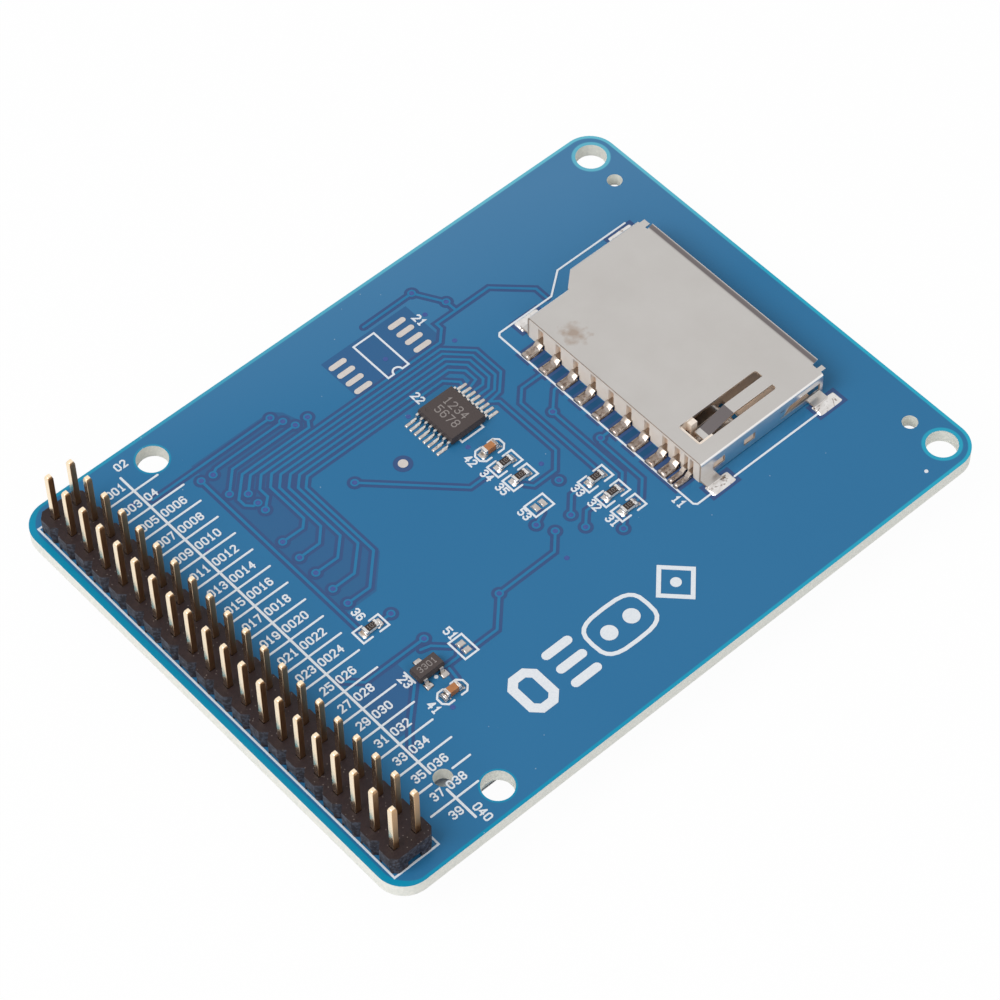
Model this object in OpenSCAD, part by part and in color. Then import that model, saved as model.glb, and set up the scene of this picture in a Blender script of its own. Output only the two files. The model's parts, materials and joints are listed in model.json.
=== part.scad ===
/* [Board] */
// Length of the circuit board, along X
board_l = 73.8; // [72:0.1:84]
// Width of the circuit board, along Y
board_w = 55.2; // [54:0.1:64]
// Thickness of the circuit board
board_t = 1.6; // [0.8:0.1:2.4]
// Radius of the board's corners
board_r = 3; // [1:0.1:4]
// Diameter of the four mounting holes
hole_d = 3.2; // [2.2:0.1:3.6]
// Distance between mounting holes along X
hole_dx = 56.9; // [54:0.1:58]
// Distance between mounting holes along Y
hole_dy = 49.3; // [48:0.1:50]
// Centre of the hole pattern along X
hole_x = 5.65; // [4:0.05:6]
// Diameter of the two locating holes by the card socket's end
locating_d = 1.6; // [1:0.1:2]
// Diameter of the sight hole by the header
sight_d = 1.9; // [1:0.1:2.2]

/* [Pin header] */
// Pins in each of the header's two rows
header_n = 20; // [8:1:20]
// Distance between neighbouring pins and between the rows
pitch = 2.54; // [2:0.01:2.54]
// Centre of the outer row from the board's end
header_inset = 2.2; // [2:0.1:3]
// Centre of the header along Y
header_y = -0.2; // [-1:0.1:1]
// Side of a square pin
pin_w = 0.64; // [0.4:0.02:0.8]
// Height of the pin tips above the board
pin_up = 8.8; // [6:0.1:14]
// Length of pin below the board's top face
pin_down = 3; // [2.6:0.1:3.4]
// Length of the taper at a pin's end
pin_taper = 0.35; // [0.2:0.05:0.8]
// Width of the blunt end of a pin
pin_blunt = 0.44; // [0.2:0.02:0.5]
// Height of the header's plastic strip
strip_h = 2.5; // [1.5:0.1:3]
// Width of the header's plastic strip
strip_w = 5; // [4.6:0.1:5.1]
// Chamfer at each notch between the strip's cells
strip_chamfer = 0.62; // [0.2:0.02:0.7]
// Height of the arches under the strip's cells
arch_h = 0.85; // [0.3:0.05:1.2]
// Width of the channel under the strip's middle
channel_w = 1.6; // [1:0.1:1.8]
// Diameter of the plated holes for the pins
pin_hole_d = 1; // [0.95:0.01:1.1]
// Radius of a solder cone at its foot
cone_r = 0.85; // [0.7:0.05:0.95]
// Height of a solder cone
cone_h = 0.95; // [0.5:0.05:1.1]

/* [Card socket] */
// Rear face of the card socket along X
socket_x = 13.8; // [12:0.1:14]
// Depth of the socket's cover, rear face to mouth
socket_l = 16.2; // [15.8:0.1:17]
// Low side of the cover along Y
socket_low = -12.55; // [-13.5:0.05:-12.4]
// High side of the cover along Y
socket_high = 13.6; // [13.5:0.05:14.5]
// How far the cover's rear corner steps in
socket_step = 1.8; // [1.2:0.1:2]
// Length of the stepped part, behind the slant
step_l = 5.3; // [5:0.1:5.6]
// Length of the slant
slant_l = 2; // [1.6:0.1:2.4]
// Height of the socket above the board
socket_h = 2.9; // [2.8:0.05:3.4]
// Thickness of the cover's sheet steel
sheet_t = 0.2; // [0.1:0.02:0.25]
// Outer radius of the cover's bends
bend_r = 0.4; // [0.3:0.05:0.6]
// Thickness of the socket's moulded floor
floor_t = 0.45; // [0.3:0.05:0.5]
// Width of the card slot
slot_w = 24.2; // [24.1:0.05:24.4]
// Centre of the card slot along Y
slot_y = 0.5; // [0.3:0.05:0.7]
// Thickness of the moulding's rear wall
rear_wall = 1.4; // [1:0.1:1.8]
// Pitch of the card contacts
contact_pitch = 2.5; // [2.4:0.02:2.5]
// Width of a card contact
contact_w = 1; // [0.6:0.05:1.1]
// Thickness of the contacts' strip
contact_t = 0.18; // [0.1:0.01:0.2]
// Length of a contact's tail behind the socket
tail_l = 2.05; // [1.4:0.05:2.2]
// How far the card contacts reach in from the socket's rear face
contact_reach = 7.2; // [6.6:0.1:7.6]
// Width of the two switch springs
switch_w = 0.5; // [0.3:0.05:0.6]
// How far the switch springs reach in from the socket's rear face
switch_reach = 5.4; // [5:0.1:6]
// Length of the window in the cover
window_l = 10.2; // [8:0.1:11]
// Width of the window in the cover
window_w = 2.9; // [2.4:0.1:3]
// Width of the tongue lanced from the window
tongue_w = 1.35; // [0.8:0.05:1.5]
// How far the tongue's tip hangs below the cover
tongue_drop = 0.85; // [0.4:0.05:0.9]
// Length of the moulded guard round the tongue's tip
guard_l = 1.95; // [1.7:0.05:2.2]

/* [Small parts] */
// Length of the touch controller's body, along Y
ic_l = 5; // [4.9:0.05:5.4]
// Width of the touch controller's body, along X
ic_w = 4.4; // [4:0.1:4.8]
// Height of the touch controller above the board
ic_h = 1.1; // [0.9:0.05:1.2]
// Pitch of the touch controller's leads
lead_pitch = 0.65; // [0.6:0.01:0.66]
// Width of one of its leads
lead_w = 0.24; // [0.18:0.01:0.28]
// Span of its leads from tip to tip
lead_span = 6.4; // [6.2:0.1:6.8]
// Thickness of lead frames
lead_t = 0.13; // [0.1:0.01:0.16]
// Length of the regulator's body, along X
reg_l = 3; // [2.8:0.1:3.1]
// Width of the regulator's body, along Y
reg_w = 1.6; // [1.3:0.1:1.7]
// Length of a chip resistor or capacitor
chip_l = 1.6; // [1.5:0.05:1.8]
// Width of a chip resistor or capacitor
chip_w = 0.8; // [0.7:0.05:0.9]
// Height of a chip resistor
resistor_h = 0.45; // [0.35:0.05:0.5]
// Height of a chip capacitor
capacitor_h = 0.75; // [0.6:0.05:0.85]
// Length of a chip's end cap
cap_l = 0.3; // [0.2:0.05:0.4]
// Thickness of a chip's end cap
cap_t = 0.04; // [0.02:0.01:0.06]
// Thickness of tinned pads
pad_t = 0.05; // [0.03:0.01:0.08]

/* [Display] */
// Length of the display, along X
display_l = 60.26; // [58:0.02:61]
// Width of the display, along Y
display_w = 42.72; // [42:0.02:46]
// Centre of the display along X
display_x = 2.85; // [2.5:0.05:3]
// Thickness of the touch panel's film
film_t = 0.2; // [0.1:0.02:0.3]
// Thickness of the gasket between the film and its glass
gasket_t = 0.1; // [0.08:0.01:0.15]
// Thickness of the touch panel's glass
touch_glass_t = 1; // [0.7:0.05:1.2]
// Thickness of the tape behind the touch panel
touch_tape_t = 0.2; // [0.1:0.02:0.3]
// Depth of the polarizer behind the frame's front
cell_recess = 0.1; // [0.05:0.01:0.2]
// Thickness of a polarizer
polarizer_t = 0.15; // [0.1:0.01:0.2]
// Thickness of each glass of the cell
cell_glass_t = 0.4; // [0.3:0.02:0.5]
// Thickness of the prism and diffuser films
sheet_film_t = 0.1; // [0.06:0.01:0.12]
// Thickness of the light guide
guide_t = 0.6; // [0.5:0.02:0.8]
// Thickness of the tray's sheet steel
tray_t = 0.2; // [0.12:0.01:0.25]
// Thickness of the tape between the display and the board
mount_tape_t = 0.7; // [0.68:0.01:0.9]
// Length of each strip of that tape, along X
tape_l = 34; // [20:1:36]
// Width of each strip of that tape, along Y
tape_w = 6; // [3:0.5:7]
// Distance of the tape from the display's end
tape_end_gap = 4; // [2:0.5:6]
// Distance of the tape from the display's side
tape_side_gap = 7; // [5:0.5:8]
// Length of the glass ledge that carries the driver chip
ledge_l = 3.6; // [3.4:0.1:4]
// Length of the driver chip, along Y
driver_l = 17; // [12:0.5:22]
// Width of the driver chip, along X
driver_w = 1.2; // [0.8:0.1:1.4]
// Thickness of the driver chip
driver_t = 0.3; // [0.2:0.02:0.32]
// Thickness of the flexible circuits
flex_t = 0.1; // [0.06:0.01:0.12]
// Number of soldered contacts on the display's flexible circuit
flex_n = 37; // [20:1:37]
// Pitch of those contacts
flex_pitch = 0.8; // [0.6:0.05:0.8]
// Length of those contacts, along X
flex_solder_l = 3; // [2:0.1:4]
// How far in from the display's end those contacts start
flex_reach = 8.5; // [8:0.1:10]
// Width of the touch panel's flexible circuit
touch_flex_w = 4.2; // [3:0.1:4.6]
// Number of backlight lamps
led_n = 4; // [2:1:6]

/* [Hidden] */
$fn = 48;

// Clearances: pieces held by one another, solder in a hole, and films in their frame
fit = 0.03;
solder_fit = 0.01;
film_fit = 0.05;
// How far a cutting shape runs past the face it cuts
past = 1;

// Levels of the display's layers, from the front face at zero to the board
glass_z = film_t + gasket_t;
touch_back = glass_z + touch_glass_t;
frame_z = touch_back + touch_tape_t;
front_pol_z = frame_z + cell_recess;
filter_z = front_pol_z + polarizer_t;
array_z = filter_z + cell_glass_t;
rear_pol_z = array_z + cell_glass_t;
prism_z = rear_pol_z + polarizer_t;
guide_z = prism_z + 3 * sheet_film_t;
reflector_z = guide_z + guide_t;
tray_z = reflector_z + sheet_film_t;
display_back = tray_z + tray_t;
board_z = display_back + mount_tape_t;
board_top = board_z + board_t;

// Places of the board's small holes, from the board's centre
locating_spot = [33.72, 20.73];
sight_spot = [-25.89, -20.73];

// Header: middle of the two rows, and the y of the first pin
header_x = -board_l / 2 + header_inset + pitch / 2;
header_y0 = header_y - (header_n - 1) * pitch / 2;

// Card socket: ends, corners, and the height of the moulding under the cover
mouth_x = socket_x + socket_l;
step_x = socket_x + step_l;
slant_x = step_x + slant_l;
step_y = socket_high - socket_step;
base_h = socket_h - sheet_t - fit;
base_x = mouth_x - 1.4;
slot_low = slot_y - slot_w / 2;
slot_high = slot_y + slot_w / 2;
pad_h = 0.1;
skirt_z = pad_h;
// Eight contacts are evenly spaced and the last lies closer
last_contact_gap = 1.7;
contact_y0 = slot_low + 2.3 + last_contact_gap;
contact_spots = concat([contact_y0 - last_contact_gap], [for (i = [0:7]) contact_y0 + i * contact_pitch]);
switch_spots = [slot_low + 0.35, slot_low + 1.1];
arm_z = floor_t + contact_t;
wall_gap_z = arm_z + contact_t / 2 + fit;
// Soldering feet of the cover: x of the first edge, and side
foot_w = 1.8;
foot_out = 0.9;
feet = [
    [socket_x + 0.1, socket_low, -1], [mouth_x - foot_w - 0.1, socket_low, -1],
    [mouth_x - foot_w - 0.1, socket_high, 1], [socket_x + 0.1, step_y, 1]
];
// Catches of the moulding in the cover's low side: x of the first edge
catch_spots = [socket_x + 1.8, socket_x + 5.8];
catch_l = 1.2;
catch_h = 0.7;
catch_z = 1;
side_wall_x = mouth_x - 6;
// Rear low corner of the window in the cover
window_x0 = socket_x + 1.5;
window_low = socket_low + 1.85;

// Places of the small parts on the board
ic_spot = [1.5, 9.05];
reg_spot = [-19.42, -11.2];
resistor_spots = [[6.85, -10.05], [6.85, -7.8], [6.85, -5.45], [1.68, 1.65], [1.68, -0.53], [-20.15, -4.18]];
capacitor_spots = [[-19.2, -14.43], [1.68, 3.83]];
fiducial_spot = [-5.48, 8.17];
spare_spot = [1.5, 19.58];
jumper_spots = [[0.8, -4.17, 0], [-15.15, -11.42, 90]];

// Display: ends of the outline, the cell and the light guide
display_x0 = display_x - display_l / 2;
display_x1 = display_x + display_l / 2;
tray_wall = tray_t * 0.75;
frame_x0 = display_x0 + tray_wall + film_fit;
frame_x1 = display_x1 - tray_wall - film_fit;
frame_w = display_w - 2 * (tray_wall + film_fit);
cell_x0 = frame_x0 + 0.9;
cell_x1 = frame_x1 - 0.9;
cell_w = frame_w - 1.8;
filter_x0 = cell_x0 + ledge_l;
optic_x0 = filter_x0 + 0.4;
optic_x1 = cell_x1 - 0.9;
optic_w = cell_w - 2;
panel_l = display_l - 0.5;
panel_w = display_w - 0.3;
// Flexible circuits: width of the display's, place of the touch panel's, ends of their loops
flex_w = (flex_n - 1) * flex_pitch + 1.6;
ear_y = flex_w / 2 + touch_flex_w / 2 + 0.3;
bond_l = 0.9;
flex_leg_z = (display_back + board_z) / 2 - flex_t / 2;
flex_in_z = array_z - flex_t / 2;
loop_x = display_x0 - 0.25;
solder_x0 = display_x0 + flex_reach;
flex_pad_t = 0.05;
// Snaps along the tray's long walls
snap_l = 3.8;
snap_z = [rear_pol_z + 0.1, reflector_z - 0.2];
snap_spots = [-0.33, 0, 0.33];

// Unit vector from one point to another, and the unit normal on its left
function along(a, b) = (b - a) / norm(b - a);
function left(v) = [-v[1], v[0]];

// Point i of a path moved d to its left, with mitred corners
function mitre(p, i, d) =
    let (n = len(p) - 1)
    let (u = along(p[max(i - 1, 0)], p[max(i, 1)]))
    let (v = along(p[min(i, n - 1)], p[min(i + 1, n)]))
    p[i] + d * (left(u) + left(v)) / (1 + u * v);

// Outline of a strip of thickness t along a path
function ribbon(p, t) = concat(
    [for (i = [0:len(p) - 1]) mitre(p, i, t / 2)],
    [for (i = [len(p) - 1:-1:0]) mitre(p, i, -t / 2)]
);

// Half turn of radius r about c, from below to above on the low-X side
function half_turn(c, r) = [for (a = [0:15:180]) c + r * [-sin(a), -cos(a)]];

// Draws in the XZ plane and runs from y0 to y1
module run_y(y0, y1) {
    translate([0, y1, 0]) rotate([90, 0, 0]) linear_extrude(y1 - y0) children();
}

// Draws in the YZ plane and runs from x0 to x1
module run_x(x0, x1) {
    translate([x0, 0, 0]) rotate([90, 0, 90]) linear_extrude(x1 - x0) children();
}

// Box between two corners
module box(a, b) {
    translate(a) cube(b - a);
}

// Plate on the display's middle line, from x0 to x1 and z0 to z1
module sheet(x0, x1, w, z0, z1) {
    box([x0, -w / 2, z0], [x1, w / 2, z1]);
}

// Flat ring of even width between x0 and x1
module ring(x0, x1, w, rim, z0, z1) {
    difference() {
        sheet(x0, x1, w, z0, z1);
        sheet(x0 + rim, x1 - rim, w - 2 * rim, z0 - past, z1 + past);
    }
}

// Square with two sides w and h, and round corners
module round_square(l, w, r) {
    square([l - 2 * r, w], center = true);
    square([l, w - 2 * r], center = true);
    for (x = [-1, 1], y = [-1, 1])
        translate([x * (l / 2 - r), y * (w / 2 - r)]) circle(r);
}

// Repeats a shape at every pin
module at_pins() {
    for (side = [-1, 1], i = [0:header_n - 1])
        translate([header_x + side * pitch / 2, header_y0 + i * pitch]) children();
}

module pcb() {
    color([0.2, 0.44, 0.63])
    translate([0, 0, board_z])
    linear_extrude(board_t)
    difference() {
        round_square(board_l, board_w, board_r);
        for (x = [-1, 1], y = [-1, 1])
            translate([hole_x + x * hole_dx / 2, y * hole_dy / 2]) circle(d = hole_d);
        for (y = [-1, 1])
            translate([locating_spot.x, y * locating_spot.y]) circle(d = locating_d);
        translate(sight_spot) circle(d = sight_d);
        at_pins() circle(d = pin_hole_d);
    }
}

// Plan of the header's strip: a chain of cells with chamfered corners, drawn as one outline
module strip_plan() {
    waist = strip_w / 2 - strip_chamfer;
    flat = pitch / 2 - strip_chamfer;
    cell = [[waist, -pitch / 2], [strip_w / 2, -flat], [strip_w / 2, flat]];
    end = [waist, header_y0 + (header_n - 1) * pitch + pitch / 2];
    side = concat([for (i = [0:header_n - 1], c = cell) c + [0, header_y0 + i * pitch]], [end]);
    translate([header_x, 0])
    polygon(concat(side, [for (k = [len(side) - 1:-1:0]) [-side[k].x, side[k].y]]));
}

// Arch under one cell: it leaves feet at the notches, which stand on the board
module cell_arch(y) {
    top = pitch / 2 - strip_chamfer;
    foot = top + 0.1;
    run_x(-board_l, 0)
        translate([y, board_top])
        polygon([[-foot, -past], [foot, -past], [foot, 0], [top, arch_h], [-top, arch_h], [-foot, 0]]);
}

module header_body() {
    color([0.13, 0.11, 0.1])
    difference() {
        translate([0, 0, board_top]) linear_extrude(strip_h)
        difference() {
            strip_plan();
            at_pins() square(pin_w + 2 * fit, center = true);
        }
        box([header_x - channel_w / 2, -board_w, board_top - past],
            [header_x + channel_w / 2, board_w, board_top + arch_h]);
        for (i = [0:header_n - 1]) cell_arch(header_y0 + i * pitch);
    }
}

// Side view of a pin, tapered at both ends
module pin_side() {
    low = board_top - pin_down;
    high = board_top + pin_up;
    polygon([
        [-pin_blunt / 2, low], [pin_blunt / 2, low], [pin_w / 2, low + pin_taper],
        [pin_w / 2, high - pin_taper], [pin_blunt / 2, high], [-pin_blunt / 2, high],
        [-pin_w / 2, high - pin_taper], [-pin_w / 2, low + pin_taper]
    ]);
}

module header_pins() {
    color([0.85, 0.68, 0.38])
    intersection() {
        run_y(-board_w, board_w)
        for (side = [-1, 1]) translate([header_x + side * pitch / 2, 0]) pin_side();
        run_x(-board_l, 0)
        for (i = [0:header_n - 1]) translate([header_y0 + i * pitch, 0]) pin_side();
    }
}

// Solder of one pin: the filled hole and the hollow cone below the board
module pin_solder() {
    neck_r = pin_w / 2 + 0.22;
    hollow = cone_h * 0.4;
    difference() {
        union() {
            translate([0, 0, board_z - hollow]) cylinder(r1 = neck_r, r2 = cone_r, h = hollow);
            translate([0, 0, board_z - cone_h])
                cylinder(r1 = pin_w / 2 + 0.1, r2 = neck_r, h = cone_h - hollow);
            translate([0, 0, board_z - solder_fit]) cylinder(d = pin_hole_d - 2 * solder_fit, h = board_t);
        }
        translate([0, 0, board_z])
            cube([pin_w + 2 * solder_fit, pin_w + 2 * solder_fit, 4 * board_t], center = true);
    }
}

module header_solder() {
    color([0.75, 0.76, 0.78])
    at_pins() pin_solder();
}

// Plan of the socket: a rectangle with one stepped and slanted rear corner,
// drawn in by the given inset from the sides that the cover wraps
module socket_plan(x1, inset) {
    polygon([
        [socket_x, socket_low + inset], [x1, socket_low + inset], [x1, socket_high - inset],
        [slant_x, socket_high - inset], [step_x, step_y - inset], [socket_x, step_y - inset]
    ]);
}

// Plan of the card's pocket, with the cut corner that the card has
module pocket_plan() {
    pocket_x = socket_x + rear_wall;
    corner_x = slant_x - 0.3;
    corner = corner_x - pocket_x;
    polygon([
        [pocket_x, slot_low], [mouth_x + past, slot_low], [mouth_x + past, slot_high],
        [corner_x, slot_high], [pocket_x, slot_high - corner]
    ]);
}

// Room in the moulding for a contact strip of width w, and the notch above its tail
module contact_room(y, w, x1) {
    half = w / 2 + fit;
    notch_w = min(w, 0.75) / 2;
    box([socket_x - past, y - half, -past], [socket_x + rear_wall + past, y + half, wall_gap_z]);
    box([socket_x + rear_wall + 0.6, y - half - 0.1, -past], [x1, y + half + 0.1, floor_t + 1]);
    box([socket_x - past, y - notch_w, -past], [socket_x + 0.55, y + notch_w, base_h - 0.25]);
}

// Guard round the tongue's tip, behind the card's end: walls on three sides and a block
module tongue_guard() {
    wall = 0.35;
    block = [0.8, 0.6];
    x0 = socket_x + rear_wall - wall;
    x1 = window_x0 + guard_l;
    window_high = window_low + window_w;
    box([x0, window_low - wall, 0], [window_x0 + wall, window_high + wall, base_h]);
    box([x0, window_low - wall, 0], [x1, window_low + wall, base_h]);
    box([x0, window_high, 0], [x1, window_high + wall, base_h]);
    box([x1 - block[0], window_high - block[1], 0], [x1, window_high + wall, base_h]);
}

module card_base() {
    room = 1;
    color([0.93, 0.89, 0.82])
    translate([0, 0, board_top]) {
        difference() {
            union() {
                difference() {
                    intersection() {
                        linear_extrude(base_h) socket_plan(base_x, sheet_t + fit);
                        cover_block(sheet_t + fit);
                    }
                    translate([0, 0, floor_t]) linear_extrude(base_h) pocket_plan();
                }
                tongue_guard();
            }
            for (y = contact_spots) contact_room(y, contact_w, socket_x + contact_reach + room);
            for (y = switch_spots) contact_room(y, switch_w, socket_x + switch_reach + room);
            box([side_wall_x, socket_low, floor_t], [base_x + past, slot_low + fit, base_h + past]);
        }
        for (x = catch_spots)
            run_x(x, x + catch_l)
            polygon([
                [socket_low + sheet_t + 2 * fit, catch_z], [socket_low + 0.05, catch_z],
                [socket_low + sheet_t - 0.02, catch_z + catch_h],
                [socket_low + sheet_t + 2 * fit, catch_z + catch_h]
            ]);
    }
}

// Cross-section of a bent cover: flat top, sides down, round bends
module cover_section(y0, y1, top, r) {
    translate([y0, -past]) square([y1 - y0, top - r + past]);
    translate([y0 + r, 0]) square([y1 - y0 - 2 * r, top]);
    for (y = [y0 + r, y1 - r]) translate([y, top - r]) circle(r);
}

// The cover's block drawn in by t: its outside at 0, its inside at the sheet's thickness
module cover_block(t) {
    run_x(socket_x - (t > 0 ? past : 0), step_x)
        cover_section(socket_low + t, step_y - t, socket_h - t, bend_r - t);
    intersection() {
        run_x(step_x, mouth_x + (t > 0 ? past : 0))
            cover_section(socket_low + t, socket_high - t, socket_h - t, bend_r - t);
        translate([0, 0, -past]) linear_extrude(socket_h + 2 * past)
            socket_plan(mouth_x + past, 0);
    }
}

// Foot that turns out from a side of the cover at y, on the side that out gives
module cover_foot(x, y, out) {
    mid = y - out * sheet_t / 2;
    run_x(x, x + foot_w)
    polygon(ribbon([
        [mid, 0.8], [mid, pad_h + sheet_t / 2], [y + out * foot_out, pad_h + sheet_t / 2]
    ], sheet_t));
}

// Lip that flares up along the mouth, between two relief notches, and the two flat corner tabs
module cover_lip() {
    lip_l = 0.75;
    lip_low = socket_low + 1.55;
    lip_high = socket_high - 1.5;
    mid = socket_h - sheet_t / 2;
    run_y(lip_low, lip_high)
        polygon(ribbon([[mouth_x - 0.2, mid], [mouth_x + 0.1, mid], [mouth_x + lip_l, mid + 0.26]], sheet_t));
    for (y = [[socket_low + bend_r, lip_low - 0.6], [lip_high + 0.3, socket_high - bend_r]])
        box([mouth_x - 0.2, y[0], socket_h - sheet_t], [mouth_x + lip_l - 0.1, y[1], socket_h]);
}

// Tongue that hangs in the window: it bends down to press on the card, and its tip lies flat
module cover_tongue() {
    mid = socket_h - sheet_t / 2;
    y = window_low + window_w * 0.44;
    tip_x = window_x0 + 1.25;
    run_y(y - tongue_w / 2, y + tongue_w / 2)
    polygon(ribbon([
        [window_x0 + window_l + 0.1, mid], [window_x0 + window_l / 2, mid],
        [tip_x + 0.7, mid - tongue_drop], [tip_x, mid - tongue_drop]
    ], sheet_t));
}

module card_cover() {
    spring = [side_wall_x + 0.3, mouth_x - 0.7];
    spring_z = [0.9, 1.7];
    mid = socket_low + sheet_t / 2;
    color([0.75, 0.74, 0.73])
    translate([0, 0, board_top]) {
        difference() {
            cover_block(0);
            cover_block(sheet_t);
            box([socket_x - past, socket_low - past, -2 * past],
                [mouth_x + past, socket_high + past, skirt_z]);
            // The slant has no side, and bend reliefs part it from the sides beside it
            box([step_x - 0.15, slot_high - 2 * socket_step, -past],
                [slant_x + 0.2, socket_high + past, socket_h - sheet_t]);
            translate([window_x0 + window_l / 2, window_low + window_w / 2, socket_h - bend_r])
                linear_extrude(past) round_square(window_l, window_w, 0.3);
            for (x = catch_spots)
                box([x - 0.15, socket_low - past, catch_z - 0.12],
                    [x + catch_l + 0.15, socket_low + sheet_t + past / 2, catch_z + catch_h + 0.12]);
            box([spring[0], socket_low - past, spring_z[0] - 0.15],
                [spring[1] + 0.3, socket_low + bend_r, spring_z[1] + 0.15]);
        }
        cover_lip();
        cover_tongue();
        for (f = feet) cover_foot(f[0], f[1], f[2]);
        // Side spring, lanced from the low side and bowed towards the card's edge
        translate([0, 0, spring_z[0]]) linear_extrude(spring_z[1] - spring_z[0])
            polygon(ribbon([
                [spring[0] - 0.1, mid], [spring[0] + 0.4, mid], [spring[1] - 1.6, slot_low + 0.15],
                [spring[1] - 0.6, slot_low + 0.15], [spring[1], mid + 0.35]
            ], sheet_t));
    }
}

// Side path of a contact strip whose bow reaches to x1
function contact_path(x1) = let (foot_z = pad_h + contact_t / 2) [
    [socket_x - tail_l, foot_z], [socket_x - 0.6, foot_z], [socket_x - 0.15, arm_z],
    [socket_x + rear_wall + 0.4, arm_z], [x1 - 1.5, arm_z + 0.52], [x1 - 0.8, arm_z + 0.55],
    [x1, arm_z + 0.1]
];

// Row of contact strips of width w at the given places
module contact_strips(spots, w, x1) {
    translate([0, 0, board_top])
    for (y = spots)
        run_y(y - w / 2, y + w / 2) polygon(ribbon(contact_path(x1), contact_t));
}

module card_contacts() {
    color([0.72, 0.68, 0.6])
    contact_strips(contact_spots, contact_w, socket_x + contact_reach);
}

module card_switch_springs() {
    color([0.72, 0.68, 0.6])
    contact_strips(switch_spots, switch_w, socket_x + switch_reach);
}

module card_solder() {
    color([0.78, 0.79, 0.8])
    translate([0, 0, board_top]) {
        for (y = contact_spots)
            box([socket_x - tail_l - 0.15, y - contact_w / 2 - 0.12, 0],
                [socket_x - 0.1, y + contact_w / 2 + 0.12, pad_h]);
        for (y = switch_spots)
            box([socket_x - tail_l - 0.15, y - switch_w / 2 - 0.07, 0],
                [socket_x - 0.1, y + switch_w / 2 + 0.07, pad_h]);
        for (f = feet) {
            near = f[1] + f[2] * (foot_out - 0.35);
            far = f[1] + f[2] * (foot_out + 1.1);
            box([f[0] - 0.2, min(near, far), 0], [f[0] + foot_w + 1, max(near, far), pad_h]);
        }
    }
}

// Moulded package body with drafted sides, meeting at its parting line
module package(w, l, z0, z1) {
    draft = 0.09;
    mid = (z0 + z1) / 2;
    intersection() {
        run_y(-l, l)
            polygon([[-w / 2 + draft, z0], [w / 2 - draft, z0], [w / 2, mid],
                     [w / 2 - draft, z1], [-w / 2 + draft, z1], [-w / 2, mid]]);
        run_x(-w, w)
            polygon([[-l / 2 + draft, z0], [l / 2 - draft, z0], [l / 2, mid],
                     [l / 2 - draft, z1], [-l / 2 + draft, z1], [-l / 2, mid]]);
    }
}

module touch_controller() {
    dimple_d = 0.6;
    color([0.3, 0.27, 0.26])
    translate([ic_spot.x, ic_spot.y, board_top])
    difference() {
        package(ic_w, ic_l, 0.12, ic_h);
        translate([-ic_w / 2 + 0.75, ic_l / 2 - 0.75, ic_h - 0.05]) cylinder(d = dimple_d, h = past);
    }
}

// Side path of a gull-wing lead that leaves a body at height z and ends at reach
function gull_path(start, reach, z) = [
    [start, z], [start + 0.28, z], [reach - 0.6, pad_t + lead_t / 2], [reach, pad_t + lead_t / 2]
];

module touch_controller_leads() {
    row = (8 - 1) * lead_pitch;
    color([0.8, 0.8, 0.8])
    translate([ic_spot.x, ic_spot.y, board_top])
    for (side = [0, 180], i = [0:7])
        rotate([0, 0, side])
        run_y(i * lead_pitch - row / 2 - lead_w / 2, i * lead_pitch - row / 2 + lead_w / 2)
        polygon(ribbon(gull_path(ic_w / 2, lead_span / 2, (0.12 + ic_h) / 2), lead_t));
}

module regulator() {
    color([0.27, 0.22, 0.19])
    translate([reg_spot.x, reg_spot.y, board_top])
    package(reg_l, reg_w, 0.1, 1.1);
}

// Leads of the regulator: one on the high-Y side and two on the low-Y side
reg_leads = [[0, 1], [-0.95, -1], [0.95, -1]];
reg_lead_w = 0.42;
reg_reach = 1.35;

module regulator_leads() {
    color([0.8, 0.8, 0.8])
    translate([reg_spot.x, reg_spot.y, board_top])
    for (p = reg_leads)
        translate([p[0], 0, 0]) rotate([0, 0, 90 * p[1]])
        run_y(-reg_lead_w / 2, reg_lead_w / 2)
        polygon(ribbon([
            [reg_w / 2, 0.6], [reg_w / 2 + 0.12, 0.6], [reg_w / 2 + 0.25, pad_t + lead_t / 2],
            [reg_reach, pad_t + lead_t / 2]
        ], lead_t));
}

// Core of a chip part: its block less the thickness that the end caps take
module chip_core(spot, h) {
    translate([spot.x, spot.y, board_top + pad_t]) {
        box([-chip_l / 2 + cap_t, -chip_w / 2 + cap_t, cap_t],
            [chip_l / 2 - cap_t, chip_w / 2 - cap_t, h - cap_t]);
        box([-chip_l / 2 + cap_l, -chip_w / 2 + cap_t, 0.01],
            [chip_l / 2 - cap_l, chip_w / 2 - cap_t, h - cap_t]);
    }
}

// Two end caps that wrap the ends of a chip part
module end_caps(spot, h) {
    translate([spot.x, spot.y, board_top + pad_t])
    for (s = [-1, 1])
        difference() {
            box([min(s * chip_l / 2, s * (chip_l / 2 - cap_l)), -chip_w / 2, 0],
                [max(s * chip_l / 2, s * (chip_l / 2 - cap_l)), chip_w / 2, h]);
            box([-chip_l / 2 + cap_t, -chip_w / 2 + cap_t, cap_t],
                [chip_l / 2 - cap_t, chip_w / 2 - cap_t, h - cap_t]);
        }
}

module resistor(i) {
    color([0.92, 0.91, 0.88])
    chip_core(resistor_spots[i - 1], resistor_h);
}

module resistor_coats() {
    color([0.15, 0.13, 0.12])
    for (p = resistor_spots)
        translate([p.x, p.y, board_top + pad_t + resistor_h - cap_t])
        box([-chip_l / 2 + cap_l, -chip_w / 2 + cap_t, 0], [chip_l / 2 - cap_l, chip_w / 2 - cap_t, cap_t]);
}

module capacitor(i) {
    color([0.66, 0.42, 0.24])
    chip_core(capacitor_spots[i - 1], capacitor_h);
}

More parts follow.
